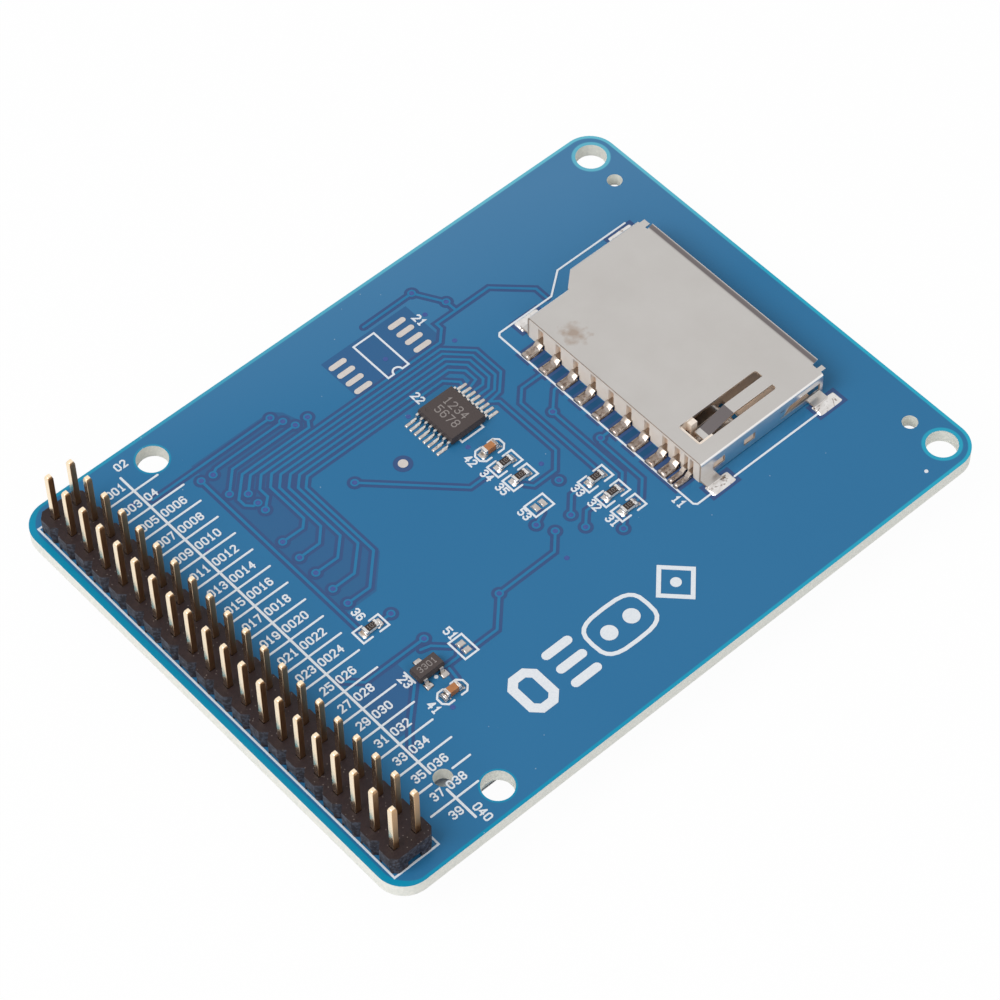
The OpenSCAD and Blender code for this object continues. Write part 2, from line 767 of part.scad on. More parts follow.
module chip_end_caps() {
    color([0.8, 0.8, 0.79]) {
        for (p = resistor_spots) end_caps(p, resistor_h);
        for (p = capacitor_spots) end_caps(p, capacitor_h);
    }
}

// Solder of a chip part: a pad under each end and a fillet up its end face
module chip_solder(spot, h) {
    pad_w = chip_w + 0.2;
    pad_end = chip_l / 2 + 0.45;
    rise = h * 0.7;
    translate([spot.x, spot.y, board_top])
    for (side = [0, 180])
        rotate([0, 0, side]) {
            box([chip_l / 2 - cap_l - 0.05, -pad_w / 2, 0], [pad_end, pad_w / 2, pad_t]);
            run_y(-chip_w / 2, chip_w / 2)
                polygon([[chip_l / 2, pad_t], [pad_end, pad_t], [chip_l / 2 + 0.14, pad_t + rise * 0.4],
                         [chip_l / 2, pad_t + rise]]);
        }
}

module smd_solder() {
    row = (8 - 1) * lead_pitch;
    pad_w = lead_w + 0.14;
    color([0.78, 0.79, 0.8]) {
        for (p = resistor_spots) chip_solder(p, resistor_h);
        for (p = capacitor_spots) chip_solder(p, capacitor_h);
        translate([ic_spot.x, ic_spot.y, board_top])
        for (side = [-1, 1], i = [0:7])
            translate([side * (lead_span / 2 + 0.08), i * lead_pitch - row / 2, pad_t / 2])
            cube([1.35, pad_w, pad_t], center = true);
        translate([reg_spot.x, reg_spot.y, board_top])
        for (p = reg_leads)
            translate([p[0], p[1] * (reg_reach - 0.1), pad_t / 2])
            cube([reg_lead_w + 0.45, 0.85, pad_t], center = true);
    }
}

// Round-ended pad, long along X
module slot_pad(l, w) {
    translate([0, 0, board_top]) linear_extrude(pad_t) {
        square([l - w, w], center = true);
        for (s = [-1, 1]) translate([s * (l - w) / 2, 0]) circle(d = w);
    }
}

module bare_pads() {
    color([0.8, 0.77, 0.74]) {
        for (x = [-3.8, 3.8], i = [0:3])
            translate([spare_spot.x + x, spare_spot.y + (i - 1.5) * 1.27, 0]) slot_pad(2.1, 0.62);
        translate([fiducial_spot.x, fiducial_spot.y, board_top]) cylinder(d = 1, h = pad_t);
        for (j = jumper_spots)
            translate([j[0], j[1], 0]) rotate([0, 0, j[2]])
            for (s = [-1, 1])
                translate([s * 0.43, 0, board_top + pad_t / 2]) cube([0.62, 0.85, pad_t], center = true);
    }
}

// Layer of the touch panel between two levels
module panel_layer(z0, z1) {
    translate([display_x, 0, z0]) linear_extrude(z1 - z0) round_square(panel_l, panel_w, 0.6);
}

module touch_film() {
    color([0.35, 0.37, 0.38])
    panel_layer(0, film_t);
}

// Tail of the touch panel's flexible circuit within the gasket's layer
tail_x1 = display_x - panel_l / 2 + 1.5;

module touch_gasket() {
    rim = 2;
    color([0.1, 0.1, 0.1])
    difference() {
        panel_layer(film_t, glass_z);
        translate([display_x, 0, 0])
            sheet(-panel_l / 2 + rim, panel_l / 2 - rim, panel_w - 2 * rim, film_t - past, glass_z + past);
        box([display_x0 - past, ear_y - touch_flex_w / 2 - film_fit, film_t - past],
            [tail_x1 + film_fit, ear_y + touch_flex_w / 2 + film_fit, glass_z + past]);
    }
}

module touch_glass() {
    color([0.5, 0.56, 0.56])
    panel_layer(glass_z, touch_back);
}

module touch_flex() {
    low = film_t + flex_t / 2;
    high = flex_leg_z + flex_t;
    mid = (low + high) / 2;
    color([0.72, 0.47, 0.16])
    run_y(ear_y - touch_flex_w / 2, ear_y + touch_flex_w / 2)
    polygon(ribbon(concat([[tail_x1, low]], half_turn([loop_x, mid], high - mid), [[loop_x + 5, high]]),
                   min(flex_t, gasket_t)));
}

module touch_tape() {
    color([0.08, 0.08, 0.08])
    ring(frame_x0, frame_x1, frame_w, 1.2, touch_back, frame_z);
}

module front_polarizer() {
    color([0.12, 0.13, 0.15])
    sheet(filter_x0 + 0.3, cell_x1 - 0.3, cell_w - 0.6, front_pol_z, filter_z);
}

module colour_filter_glass() {
    color([0.6, 0.66, 0.66])
    sheet(filter_x0, cell_x1, cell_w, filter_z, array_z);
}

module tft_array_glass() {
    color([0.6, 0.66, 0.66])
    sheet(cell_x0, cell_x1, cell_w, array_z, rear_pol_z);
}

module driver_chip() {
    x0 = (cell_x0 + bond_l + filter_x0 - driver_w) / 2;
    color([0.2, 0.2, 0.22])
    sheet(x0, x0 + driver_w, driver_l, array_z - driver_t, array_z);
}

module rear_polarizer() {
    color([0.75, 0.76, 0.78])
    sheet(optic_x0 + 0.6, optic_x1 - 0.6, optic_w - 1.2, rear_pol_z, prism_z);
}

module cell_rim_tape() {
    color([0.07, 0.07, 0.07])
    difference() {
        sheet(filter_x0 - 0.6, cell_x1, cell_w, rear_pol_z, prism_z);
        sheet(optic_x0 + 0.5, optic_x1 - 0.5, optic_w - 1, rear_pol_z - past, prism_z + past);
    }
}

// Film number i of the three between the cell and the light guide
module optic_film(i) {
    sheet(optic_x0, optic_x1, optic_w, prism_z + i * sheet_film_t, prism_z + (i + 1) * sheet_film_t);
}

module prism_film_upper() {
    color([0.88, 0.9, 0.92]) optic_film(0);
}

module prism_film_lower() {
    color([0.85, 0.87, 0.9]) optic_film(1);
}

module diffuser_film() {
    color([0.95, 0.95, 0.95]) optic_film(2);
}

// Depth of the lamps, between the frame's end wall and the light guide
led_l = 1.4;
guide_x0 = optic_x0;
led_x0 = guide_x0 - led_l - film_fit;

module light_guide() {
    color([0.93, 0.97, 0.98])
    sheet(guide_x0, optic_x1, optic_w, guide_z, reflector_z);
}

module reflector_film() {
    color([0.97, 0.97, 0.97])
    sheet(led_x0, optic_x1, optic_w, reflector_z, tray_z);
}

module led_strip() {
    color([0.75, 0.5, 0.2])
    sheet(led_x0 - 0.3, guide_x0 - film_fit, optic_w - 1, guide_z - flex_t, guide_z);
}

module backlight_leds() {
    led = 3.6;
    step = optic_w / led_n;
    color([0.97, 0.93, 0.6])
    for (i = [0:led_n - 1])
        translate([0, (i - (led_n - 1) / 2) * step, 0])
        sheet(led_x0, led_x0 + led_l, led, guide_z, guide_z + guide_t);
}

// Small wedge that locks the frame into one window of the tray, on the side that out gives
module frame_snap(out) {
    y = frame_w / 2;
    translate([-snap_l / 2, 0, 0])
    run_x(0, snap_l)
    polygon([
        [out * (y - film_fit), snap_z[0]], [out * y, snap_z[0]],
        [out * (y + tray_wall), snap_z[1]], [out * (y - film_fit), snap_z[1]]
    ]);
}

module backlight_frame() {
    color([0.95, 0.95, 0.94])
    union() {
        difference() {
            sheet(frame_x0, frame_x1, frame_w, frame_z, tray_z);
            // Seat of the cell, well of the light guide and its lamps, and way out for the circuit
            sheet(cell_x0 - film_fit, cell_x1 + film_fit, cell_w + 2 * film_fit, frame_z - past, prism_z);
            sheet(led_x0 - 0.6, optic_x1 + film_fit, optic_w + 2 * film_fit, prism_z - past, tray_z + past);
            sheet(frame_x0 - past, cell_x0 + past, flex_w + 2 * film_fit, frame_z - past, array_z + film_fit);
        }
        for (s = snap_spots, out = [-1, 1])
            translate([display_x + s * display_l, 0, 0]) frame_snap(out);
    }
}

module backlight_tray() {
    rim_z = frame_z + 0.4;
    relief = 0.8;
    color([0.72, 0.73, 0.74])
    difference() {
        sheet(display_x0, display_x1, display_w, rim_z, display_back);
        sheet(display_x0 + tray_wall, display_x1 - tray_wall, display_w - 2 * tray_wall,
              rim_z - past, tray_z);
        // Corners are open, as a folded pan's are
        for (x = [display_x0, display_x1], y = [-1, 1])
            box([x - relief, y * display_w / 2 - relief, rim_z - past],
                [x + relief, y * display_w / 2 + relief, display_back - tray_t - 0.3]);
        // Way out for the flexible circuit over the end wall
        sheet(display_x0 - past, display_x0 + 2 * tray_wall, flex_w + 1, rim_z - past, array_z + 0.35);
        for (s = snap_spots)
            translate([display_x + s * display_l, 0, 0])
            sheet(-snap_l / 2 - 0.15, snap_l / 2 + 0.15, display_w + 2 * past,
                  snap_z[0] - 0.1, snap_z[1] + 0.1);
        // Shallow stiffening groove along each long side of the back
        for (y = [-1, 1])
            box([display_x0 + 6, y * display_w * 0.36 - 0.6, display_back - 0.08],
                [display_x1 - 6, y * display_w * 0.36 + 0.6, display_back + past]);
    }
}

module display_flex() {
    mid = (flex_in_z + flex_leg_z) / 2;
    end_z = board_z - flex_pad_t - flex_t / 2;
    color([0.72, 0.47, 0.16]) {
        run_y(-flex_w / 2, flex_w / 2)
        polygon(ribbon(concat(
            [[cell_x0 + bond_l, flex_in_z]],
            half_turn([loop_x, mid], flex_leg_z - mid),
            [[solder_x0 - 2.5, flex_leg_z], [solder_x0 - 1, end_z], [solder_x0 + flex_solder_l, end_z]]
        ), flex_t));
        // Ear that the touch panel's circuit is soldered to
        box([loop_x + 2.2, flex_w / 2 - 1, flex_leg_z - flex_t / 2],
            [loop_x + 5.6, ear_y + touch_flex_w / 2 + 0.4, flex_leg_z + flex_t / 2]);
    }
}

module display_flex_solder() {
    color([0.78, 0.79, 0.8])
    for (i = [0:flex_n - 1])
        translate([solder_x0 + 0.3, (i - (flex_n - 1) / 2) * flex_pitch - 0.22, board_z - flex_pad_t])
        cube([flex_solder_l - 0.2, 0.44, flex_pad_t]);
}

module mounting_tape() {
    color([0.92, 0.92, 0.9])
    for (s = [-1, 1])
        translate([display_x1 - tape_end_gap - tape_l / 2, s * (display_w / 2 - tape_side_gap - tape_w / 2),
                   board_z - mount_tape_t / 2])
        cube([tape_l, tape_w, mount_tape_t], center = true);
}

pcb();
header_body();
header_pins();
header_solder();
card_base();
card_cover();
card_contacts();
card_switch_springs();
card_solder();
touch_controller();
touch_controller_leads();
regulator();
regulator_leads();
for (i = [1:6]) resistor(i);
resistor_coats();
for (i = [1:2]) capacitor(i);
chip_end_caps();
smd_solder();
bare_pads();
touch_film();
touch_gasket();
touch_glass();
touch_flex();
touch_tape();
front_polarizer();
colour_filter_glass();
tft_array_glass();
driver_chip();
rear_polarizer();
cell_rim_tape();
prism_film_upper();
prism_film_lower();
diffuser_film();
light_guide();
reflector_film();
led_strip();
backlight_leds();
backlight_frame();
backlight_tray();
display_flex();
display_flex_solder();
mounting_tape();
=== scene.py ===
# %% [markdown]
# # A colour touch display, seen from its back
#
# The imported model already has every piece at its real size: the board, the pin header, the card socket, the
# chips, and the display under the board. This lesson dresses it. We give each piece the finish of the real
# material, and we model what is too fine for the solids: the white print, the copper under the lacquer, the
# solder, and the softened edges that catch the light.
#
# Everything is in metres in the row's frame. The board's long side runs along X and the pins point up along
# Z.

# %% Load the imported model
import json
import math

import bmesh
import bpy
from mathutils import Matrix, Vector


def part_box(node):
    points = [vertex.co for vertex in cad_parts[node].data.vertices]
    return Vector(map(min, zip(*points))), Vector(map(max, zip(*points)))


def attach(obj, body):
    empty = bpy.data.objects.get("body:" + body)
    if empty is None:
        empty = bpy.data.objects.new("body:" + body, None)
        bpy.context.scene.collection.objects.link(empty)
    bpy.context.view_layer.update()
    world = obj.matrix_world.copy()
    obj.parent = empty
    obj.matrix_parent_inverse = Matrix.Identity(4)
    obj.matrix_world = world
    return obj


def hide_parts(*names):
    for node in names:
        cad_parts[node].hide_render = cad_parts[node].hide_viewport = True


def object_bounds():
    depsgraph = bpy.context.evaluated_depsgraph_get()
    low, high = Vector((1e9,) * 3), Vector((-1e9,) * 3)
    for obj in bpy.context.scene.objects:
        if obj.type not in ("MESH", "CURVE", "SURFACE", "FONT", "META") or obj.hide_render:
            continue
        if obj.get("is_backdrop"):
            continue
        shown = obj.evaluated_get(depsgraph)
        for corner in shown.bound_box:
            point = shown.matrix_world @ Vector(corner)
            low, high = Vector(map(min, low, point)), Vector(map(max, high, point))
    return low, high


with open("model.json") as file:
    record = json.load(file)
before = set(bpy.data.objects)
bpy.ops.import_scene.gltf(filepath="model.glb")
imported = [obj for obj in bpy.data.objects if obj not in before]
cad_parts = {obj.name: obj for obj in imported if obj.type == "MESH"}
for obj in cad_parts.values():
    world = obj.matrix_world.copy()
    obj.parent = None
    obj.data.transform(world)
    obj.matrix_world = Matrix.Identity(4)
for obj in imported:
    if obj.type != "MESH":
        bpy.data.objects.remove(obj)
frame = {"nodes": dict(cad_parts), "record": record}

cad_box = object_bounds()
print("nodes:", len(frame["nodes"]), "and the packed box:", [tuple(corner) for corner in cad_box])

# %% [markdown]
# ## Levels and places
#
# The board's levels and the place of the first pin are worked out from the imported nodes. The board's top
# face carries nearly everything that we add, so we keep its height, and a unit for millimetres, because the
# details of a circuit board are drawn in them.

# %% Levels and places
MM = 0.001
nodes = frame["nodes"]
board_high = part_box("pcb")[1]
TOP = board_high.z
HALF_L = board_high.x / MM
HALF_W = board_high.y / MM
PITCH = 2.54
PIN_ROWS = 20
HALF_PIN = 0.32
FIRST_PIN_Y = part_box("header_pins")[1].y / MM - HALF_PIN
print("board top at", round(TOP / MM, 2), "mm, first pin at y", round(FIRST_PIN_Y, 2), "mm")

# %% [markdown]
# ## Colours and nodes
#
# A colour picked on a screen is sRGB, while the renderer adds light in linear values, so one function turns
# a hex code into the other. One more function adds a shader node, sets it and links it. The others are
# short forms of it for what most materials need: noise, a ramp, a little arithmetic and a bump.

# %% Colour and node helpers
def linear(code):
    """Linear red, green, blue and alpha of an sRGB hex colour."""
    parts = [int(code[i:i + 2], 16) / 255 for i in (0, 2, 4)]
    return tuple(c / 12.92 if c <= 0.04045 else ((c + 0.055) / 1.055) ** 2.4 for c in parts) + (1.0,)


def set_inputs(tree, node, inputs):
    """Sets or links inputs. A node given as a value stands for its first output in use."""
    for name, value in inputs.items():
        if isinstance(name, int):
            socket = node.inputs[name]
        else:
            socket = next(s for s in node.inputs if s.name == name and s.enabled)
        if isinstance(value, bpy.types.Node):
            value = next(o for o in value.outputs if o.enabled)
        if isinstance(value, bpy.types.NodeSocket):
            tree.links.new(value, socket)
        else:
            socket.default_value = value


def add_node(tree, kind, settings=None, inputs=None):
    """Adds one shader node with its settings and its links."""
    node = tree.nodes.new("ShaderNode" + kind)
    for name, value in (settings or {}).items():
        setattr(node, name, value)
    set_inputs(tree, node, inputs or {})
    return node


def painted(tree, **inputs):
    """Sets inputs of a material's Principled shader. Underscores in the names stand for spaces."""
    spaced = {name.replace("_", " "): value for name, value in inputs.items()}
    set_inputs(tree, tree.nodes["Principled BSDF"], spaced)


def new_material(name, **inputs):
    """A material with one Principled shader, and its node tree."""
    material = bpy.data.materials.new(name)
    material.use_nodes = True
    painted(material.node_tree, **inputs)
    return material, material.node_tree


def place_in_mm(tree):
    """The point being shaded, in the row's frame and in millimetres."""
    coords = add_node(tree, "TexCoord")
    return add_node(tree, "VectorMath", {"operation": "SCALE"},
                    {"Vector": coords.outputs["Object"], "Scale": 1 / MM})


def between(tree, factor, low, high):
    """A colour between two sRGB hex codes or links, by a factor from zero to one."""
    a, b = (linear(c) if isinstance(c, str) else c for c in (low, high))
    return add_node(tree, "Mix", {"data_type": "RGBA"}, {"Factor": factor, "A": a, "B": b})


def ramp(tree, value, start, end, low, high, soft=False):
    """A value mapped from one range to another and clamped."""
    settings = {"interpolation_type": "SMOOTHSTEP"} if soft else {}
    return add_node(tree, "MapRange", settings,
                    {"Value": value, "From Min": start, "From Max": end, "To Min": low, "To Max": high})


def calc(tree, operation, *values):
    """A sum, a product or the like of plain values."""
    return add_node(tree, "Math", {"operation": operation}, dict(enumerate(values)))


def vector(tree, operation, *values):
    """The same for points and directions."""
    return add_node(tree, "VectorMath", {"operation": operation}, dict(enumerate(values)))


def split_xyz(tree, value):
    """The X, Y and Z of a point or direction."""
    return add_node(tree, "SeparateXYZ", inputs={"Vector": value}).outputs


def face_normal(tree):
    """Which way the real face looks, as X, Y and Z from -1 to 1."""
    return split_xyz(tree, add_node(tree, "NewGeometry").outputs["True Normal"])


def noise(tree, size, detail=2.0, place=None, **more):
    """Soft noise from zero to one, with lumps about as large as the size in mm."""
    if place is None:
        place = place_in_mm(tree)
    inputs = {"Vector": place, "Scale": 1 / size, "Detail": detail, **more}
    return add_node(tree, "TexNoise", inputs=inputs).outputs["Fac"]


def dented(tree, height, strength, depth):
    """A surface that seems to follow a height, over a depth in mm."""
    return add_node(tree, "Bump", inputs={"Height": height, "Strength": strength, "Distance": depth * MM})


def grained(name, size, detail, tones=None, rough=None, dent=None, **inputs):
    """A finish with one grain, which may cloud its colour, vary its roughness and dent its skin."""
    material, tree = new_material(name, **inputs)
    grain = noise(tree, size, detail)
    if tones:
        painted(tree, Base_Color=between(tree, grain, *tones))
    if rough:
        painted(tree, Roughness=ramp(tree, grain, 0, 1, *rough))
    if dent:
        painted(tree, Normal=dented(tree, grain, *dent))
    return material


print("a mid blue in linear light:", [round(c, 3) for c in linear("36729f")])

# %% [markdown]
# ## Camera, floor and light
#
# The board is seen from above its header corner through a long lens, which keeps its edges nearly parallel.
# The studio is plain: a pale floor, two large soft lamps and a white surround. The floor is told by Light
# Path to look nearly white to the camera and in reflections, while it keeps the soft shadow under the
# board.

# %% Camera
azimuth = math.radians(-41.28)
elevation = math.radians(53.73)
roll = math.radians(-0.8)
aim = Vector((-1.51 * MM, -1.21 * MM, TOP))
distance = 0.3519
forward = Vector((-math.sin(azimuth) * math.cos(elevation), math.cos(azimuth) * math.cos(elevation),
                  -math.sin(elevation)))
level = Vector((math.cos(azimuth), math.sin(azimuth), 0))
right = Matrix.Rotation(roll, 3, -forward) @ level
up = right.cross(forward)
camera_data = bpy.data.cameras.new("camera")
camera_data.lens = 134.2
camera_data.sensor_width = 36
camera_data.clip_start = 0.01
camera = bpy.data.objects.new("camera", camera_data)
bpy.context.scene.collection.objects.link(camera)
facing = Matrix((right, up, -forward)).transposed().to_4x4()
camera.matrix_world = Matrix.Translation(aim - forward * distance) @ facing
bpy.context.scene.camera = camera
bpy.context.scene.view_settings.view_transform = "Standard"
print("camera at", [round(c / MM, 1) for c in camera.location], "mm")

# %% Floor, lamps and surround
def seen_directly(tree):
    """One for camera, mirror and glass rays, and zero for the light that falls on things."""
    path = add_node(tree, "LightPath")
    mirror = calc(tree, "MAXIMUM", path.outputs["Is Glossy Ray"], path.outputs["Is Transmission Ray"])
    return calc(tree, "MAXIMUM", path.outputs["Is Camera Ray"], mirror)


def studio_floor():
    """Pale matt paper that looks nearly white wherever it is seen, and still takes a shadow."""
    material = bpy.data.materials.new("studio_paper")
    material.use_nodes = True
    tree = material.node_tree
    tree.nodes.clear()
    paper = add_node(tree, "BsdfDiffuse", inputs={"Color": linear("f4f4f4")})
    glow = add_node(tree, "Emission", inputs={"Color": (1, 1, 1, 1), "Strength": 1.0})
    share = calc(tree, "MULTIPLY", seen_directly(tree), 0.97)
    mix = add_node(tree, "MixShader", inputs={0: share, 1: paper, 2: glow})
    add_node(tree, "OutputMaterial", inputs={"Surface": mix})
    return material


floor_mesh = bpy.data.meshes.new("floor")
reach = 3.0
floor_mesh.from_pydata([(-reach, -reach, 0), (reach, -reach, 0), (reach, reach, 0), (-reach, reach, 0)], [],
                       [(0, 1, 2, 3)])
floor_mesh.materials.append(studio_floor())
floor = bpy.data.objects.new("floor", floor_mesh)
floor.location.z = cad_box[0][2] - 0.02 * MM
bpy.context.scene.collection.objects.link(floor)
floor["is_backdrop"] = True


def soft_lamp(name, place, size, power):
    """A square area lamp that faces the object."""
    data = bpy.data.lights.new(name, "AREA")
    data.size = size
    data.energy = power
    lamp = bpy.data.objects.new(name, data)
    lamp.location = place
    lamp.rotation_euler = (-Vector(place)).to_track_quat("-Z", "Y").to_euler()
    bpy.context.scene.collection.objects.link(lamp)


soft_lamp("left_softbox", (-0.55, 0.1, 0.7), 0.5, 4.15)
soft_lamp("front_softbox", (-0.2, -0.7, 0.5), 0.4, 1.0)

world = bpy.data.worlds.new("surround")
bpy.context.scene.world = world
world.use_nodes = True
sky_tree = world.node_tree
sky = sky_tree.nodes["Background"]
strength = ramp(sky_tree, seen_directly(sky_tree), 0, 1, 0.5, 1.0)
set_inputs(sky_tree, sky, {"Color": (1, 1, 1, 1), "Strength": strength})

# %% [markdown]
# ## Making pieces
#
# Print, tracks and pads are all flat shapes with a small thickness. We draw them as strokes: a path of a
# given width with mitred corners and round ends, raised into a thin closed solid, as a pen plotter or an
# etched track gives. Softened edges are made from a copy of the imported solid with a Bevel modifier, because
# a real moulded or stamped edge is never perfectly sharp and its thin highlight is what the eye reads as
# real.

# %% Piece helpers
MERGE = 1e-7  # metres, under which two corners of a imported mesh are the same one


def add_piece(name, mesh, material):
    """Puts a mesh into the scene as a piece that belongs to the body."""
    mesh.materials.clear()
    mesh.materials.append(material)
    piece = bpy.data.objects.new(name, mesh)
    bpy.context.scene.collection.objects.link(piece)
    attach(piece, "root")
    return piece


def piece_from(bm, name, material, smooth=False):
    """Turns finished mesh work into a piece."""
    bmesh.ops.recalc_face_normals(bm, faces=bm.faces)
    mesh = bpy.data.meshes.new(name)
    bm.to_mesh(mesh)
    bm.free()
    if smooth:
        mesh.shade_smooth()
        mesh.set_sharp_from_angle(angle=math.radians(60))
    print(name, "has", len(mesh.polygons), "faces")
    return add_piece(name, mesh, material)


def add_prism(bm, points, faces, low, high):
    """Raises flat faces, whose points are in mm, into a closed solid between two heights in metres."""
    bottom = [bm.verts.new((x * MM, y * MM, low)) for x, y in points]
    top = [bm.verts.new((x * MM, y * MM, high)) for x, y in points]
    edges = {(face[i - 1], face[i]) for face in faces for i in range(len(face))}
    for face in faces:
        bm.faces.new([top[i] for i in face])
        bm.faces.new([bottom[i] for i in reversed(face)])
    for a, b in edges:
        if (b, a) not in edges:
            bm.faces.new([bottom[a], bottom[b], top[b], top[a]])


def left_of(v):
    """The direction to the left of another, seen from above."""
    return Vector((-v.y, v.x))


def add_stroke(bm, path, width, low, high, closed=False):
    """A ridge of even width along a path in mm, with mitred corners and round ends."""
    line = [Vector(p) for p in path]
    n = len(line)
    half = width / 2
    points = []
    for i, here in enumerate(line):
        before = line[i - 1] if closed or i > 0 else None
        after = line[(i + 1) % n] if closed or i < n - 1 else None
        u = (here - before).normalized() if before else (after - here).normalized()
        v = (after - here).normalized() if after else u
        shift = (left_of(u) + left_of(v)) * half / (1 + u.dot(v))
        points += [here + shift, here - shift]
    spans = n if closed else n - 1
    faces = [(2 * i, 2 * i + 1, (2 * i + 3) % (2 * n), (2 * i + 2) % (2 * n)) for i in range(spans)]
    if not closed:
        arc = [math.radians(a) for a in range(30, 180, 30)]
        first = (line[0], line[0] - line[1], (1, 0))
        last = (line[-1], line[-1] - line[-2], (2 * n - 2, 2 * n - 1))
        for centre, towards, pair in (first, last):
            out = towards.normalized() * half
            side = points[pair[0]] - centre
            rim = [centre + side * math.cos(a) + out * math.sin(a) for a in arc]
            start = len(points)
            points += rim
            faces.append((pair[1], pair[0]) + tuple(range(start, start + len(rim))))
    add_prism(bm, points, faces, low, high)


def add_disc(bm, x, y, radius, low, high, steps=24):
    """A round plate. Sizes are in mm and heights in metres."""
    turns = [2 * math.pi * i / steps for i in range(steps)]
    circle = [(x + radius * math.cos(turn), y + radius * math.sin(turn)) for turn in turns]
    add_prism(bm, circle, [tuple(range(steps))], low, high)


def add_mound(bm, xs, ys, height, profile):
    """A closed cushion over a rectangle in mm. The profile gives its height along X, from 0 to 1."""
    across = 8
    along = 16
    sunk = 0.01
    middle = (ys[0] + ys[1]) / 2
    half = (ys[1] - ys[0]) / 2
    rows = []
    for i in range(along + 1):
        u = (1 - math.cos(math.pi * i / along)) / 2
        ends = 1 - (2 * u - 1) ** 12
        narrow = 1 - 0.12 * (2 * u - 1) ** 8
        row = []
        for j in range(across + 1):
            v = math.sin(math.pi * (j / across - 0.5))
            rise = height * profile(u) * ends * (1 - v ** 6)
            spot = ((xs[0] + (xs[1] - xs[0]) * u) * MM, (middle + half * v * narrow) * MM,
                    TOP + (rise - sunk) * MM)
            row.append(bm.verts.new(spot))
        rows.append(row)
    for near, far in zip(rows, rows[1:]):
        for j in range(across):
            bm.faces.new([near[j], far[j], far[j + 1], near[j + 1]])
    rim = rows[0] + [row[-1] for row in rows[1:-1]] + rows[-1][::-1] + [row[0] for row in rows[-2:0:-1]]
    bm.faces.new(rim)


def eased(node, width, material):
    """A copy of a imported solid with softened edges, which stands for it."""
    source = nodes[node]
    bm = bmesh.new()
    bm.from_mesh(source.data)
    bmesh.ops.remove_doubles(bm, verts=bm.verts, dist=MERGE)
    bmesh.ops.dissolve_limit(bm, angle_limit=math.radians(1), verts=bm.verts, edges=bm.edges)
    mesh = bpy.data.meshes.new(node + "_eased")
    bm.to_mesh(mesh)
    bm.free()
    mesh.shade_smooth()
    piece = add_piece(node + "_eased", mesh, material)
    bevel = piece.modifiers.new("ease", "BEVEL")
    bevel.width = width * MM
    bevel.segments = 2
    bevel.limit_method = "ANGLE"
    bevel.angle_limit = math.radians(32)
    # The large faces set the shading, so that reflections on them stay flat up to the softened edge.
    flat = piece.modifiers.new("flat", "WEIGHTED_NORMAL")
    flat.weight = 100
    flat.keep_sharp = True
    view = bpy.context.evaluated_depsgraph_get()
    rounded = bpy.data.meshes.new_from_object(piece.evaluated_get(view))
    piece.modifiers.clear()
    piece.data = rounded
    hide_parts(node)


def dress(node, material):
    """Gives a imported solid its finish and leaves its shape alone."""
    mesh = nodes[node].data
    mesh.materials.clear()
    mesh.materials.append(material)


slot_of = {part["node"]: part["material_slot"] for part in frame["record"]["subparts"]}
print("slots:", sorted(set(slot_of.values())))

# %% [markdown]
# ## The board: blue lacquer on glass epoxy
#
# A circuit board is a laminate of woven glass and epoxy with a copper sheet on each face, covered by a thin
# lacquer. Blue over copper is bright and even. Round the rim and the holes the copper stops short, and
# light comes through the laminate, so a narrow band there turns teal. The routed sides show the bare
# laminate. One material can tell all three apart: the faces by their normal, and the band by the distance
# to the outline, which we work out from the board's packed size. That is surer than painting, and it stays
# sharp at any zoom.

# %% Lacquered board
mount = frame["record"]["mounts"][0]
HOLES_X = mount["pos_m"][0] / MM
HOLES_DX = mount["dims"]["spacing_x_mm"] / 2
HOLES_DY = mount["dims"]["spacing_y_mm"] / 2
HOLE_R = mount["dims"]["hole_r_mm"]
CORNER_R = 3.0


def rim_distance(tree, place):
    """How far a point lies inside the board's rounded outline, in mm."""
    folded = vector(tree, "ABSOLUTE", place)
    inner = (HALF_L - CORNER_R, HALF_W - CORNER_R, 0)
    past = vector(tree, "SUBTRACT", folded, inner)
    outside = vector(tree, "MAXIMUM", past, (0, 0, -99))
    flat = vector(tree, "MULTIPLY", outside, (1, 1, 0))
    corner = vector(tree, "LENGTH", flat)
    split = split_xyz(tree, past)
    side = calc(tree, "MAXIMUM", split["X"], split["Y"])
    inside = calc(tree, "MINIMUM", side, 0.0)
    total = calc(tree, "ADD", corner.outputs["Value"], inside)
    return calc(tree, "SUBTRACT", CORNER_R, total)


def hole_distance(tree, place):
    """How far a point lies outside the nearest of the four mounting holes, in mm."""
    shifted = vector(tree, "SUBTRACT", place, (HOLES_X, 0, 0))
    mirrored = vector(tree, "ABSOLUTE", shifted)
    apart = vector(tree, "SUBTRACT", mirrored, (HOLES_DX, HOLES_DY, 0))
    level = vector(tree, "MULTIPLY", apart, (1, 1, 0))
    away = vector(tree, "LENGTH", level)
    return calc(tree, "SUBTRACT", away.outputs["Value"], HOLE_R)


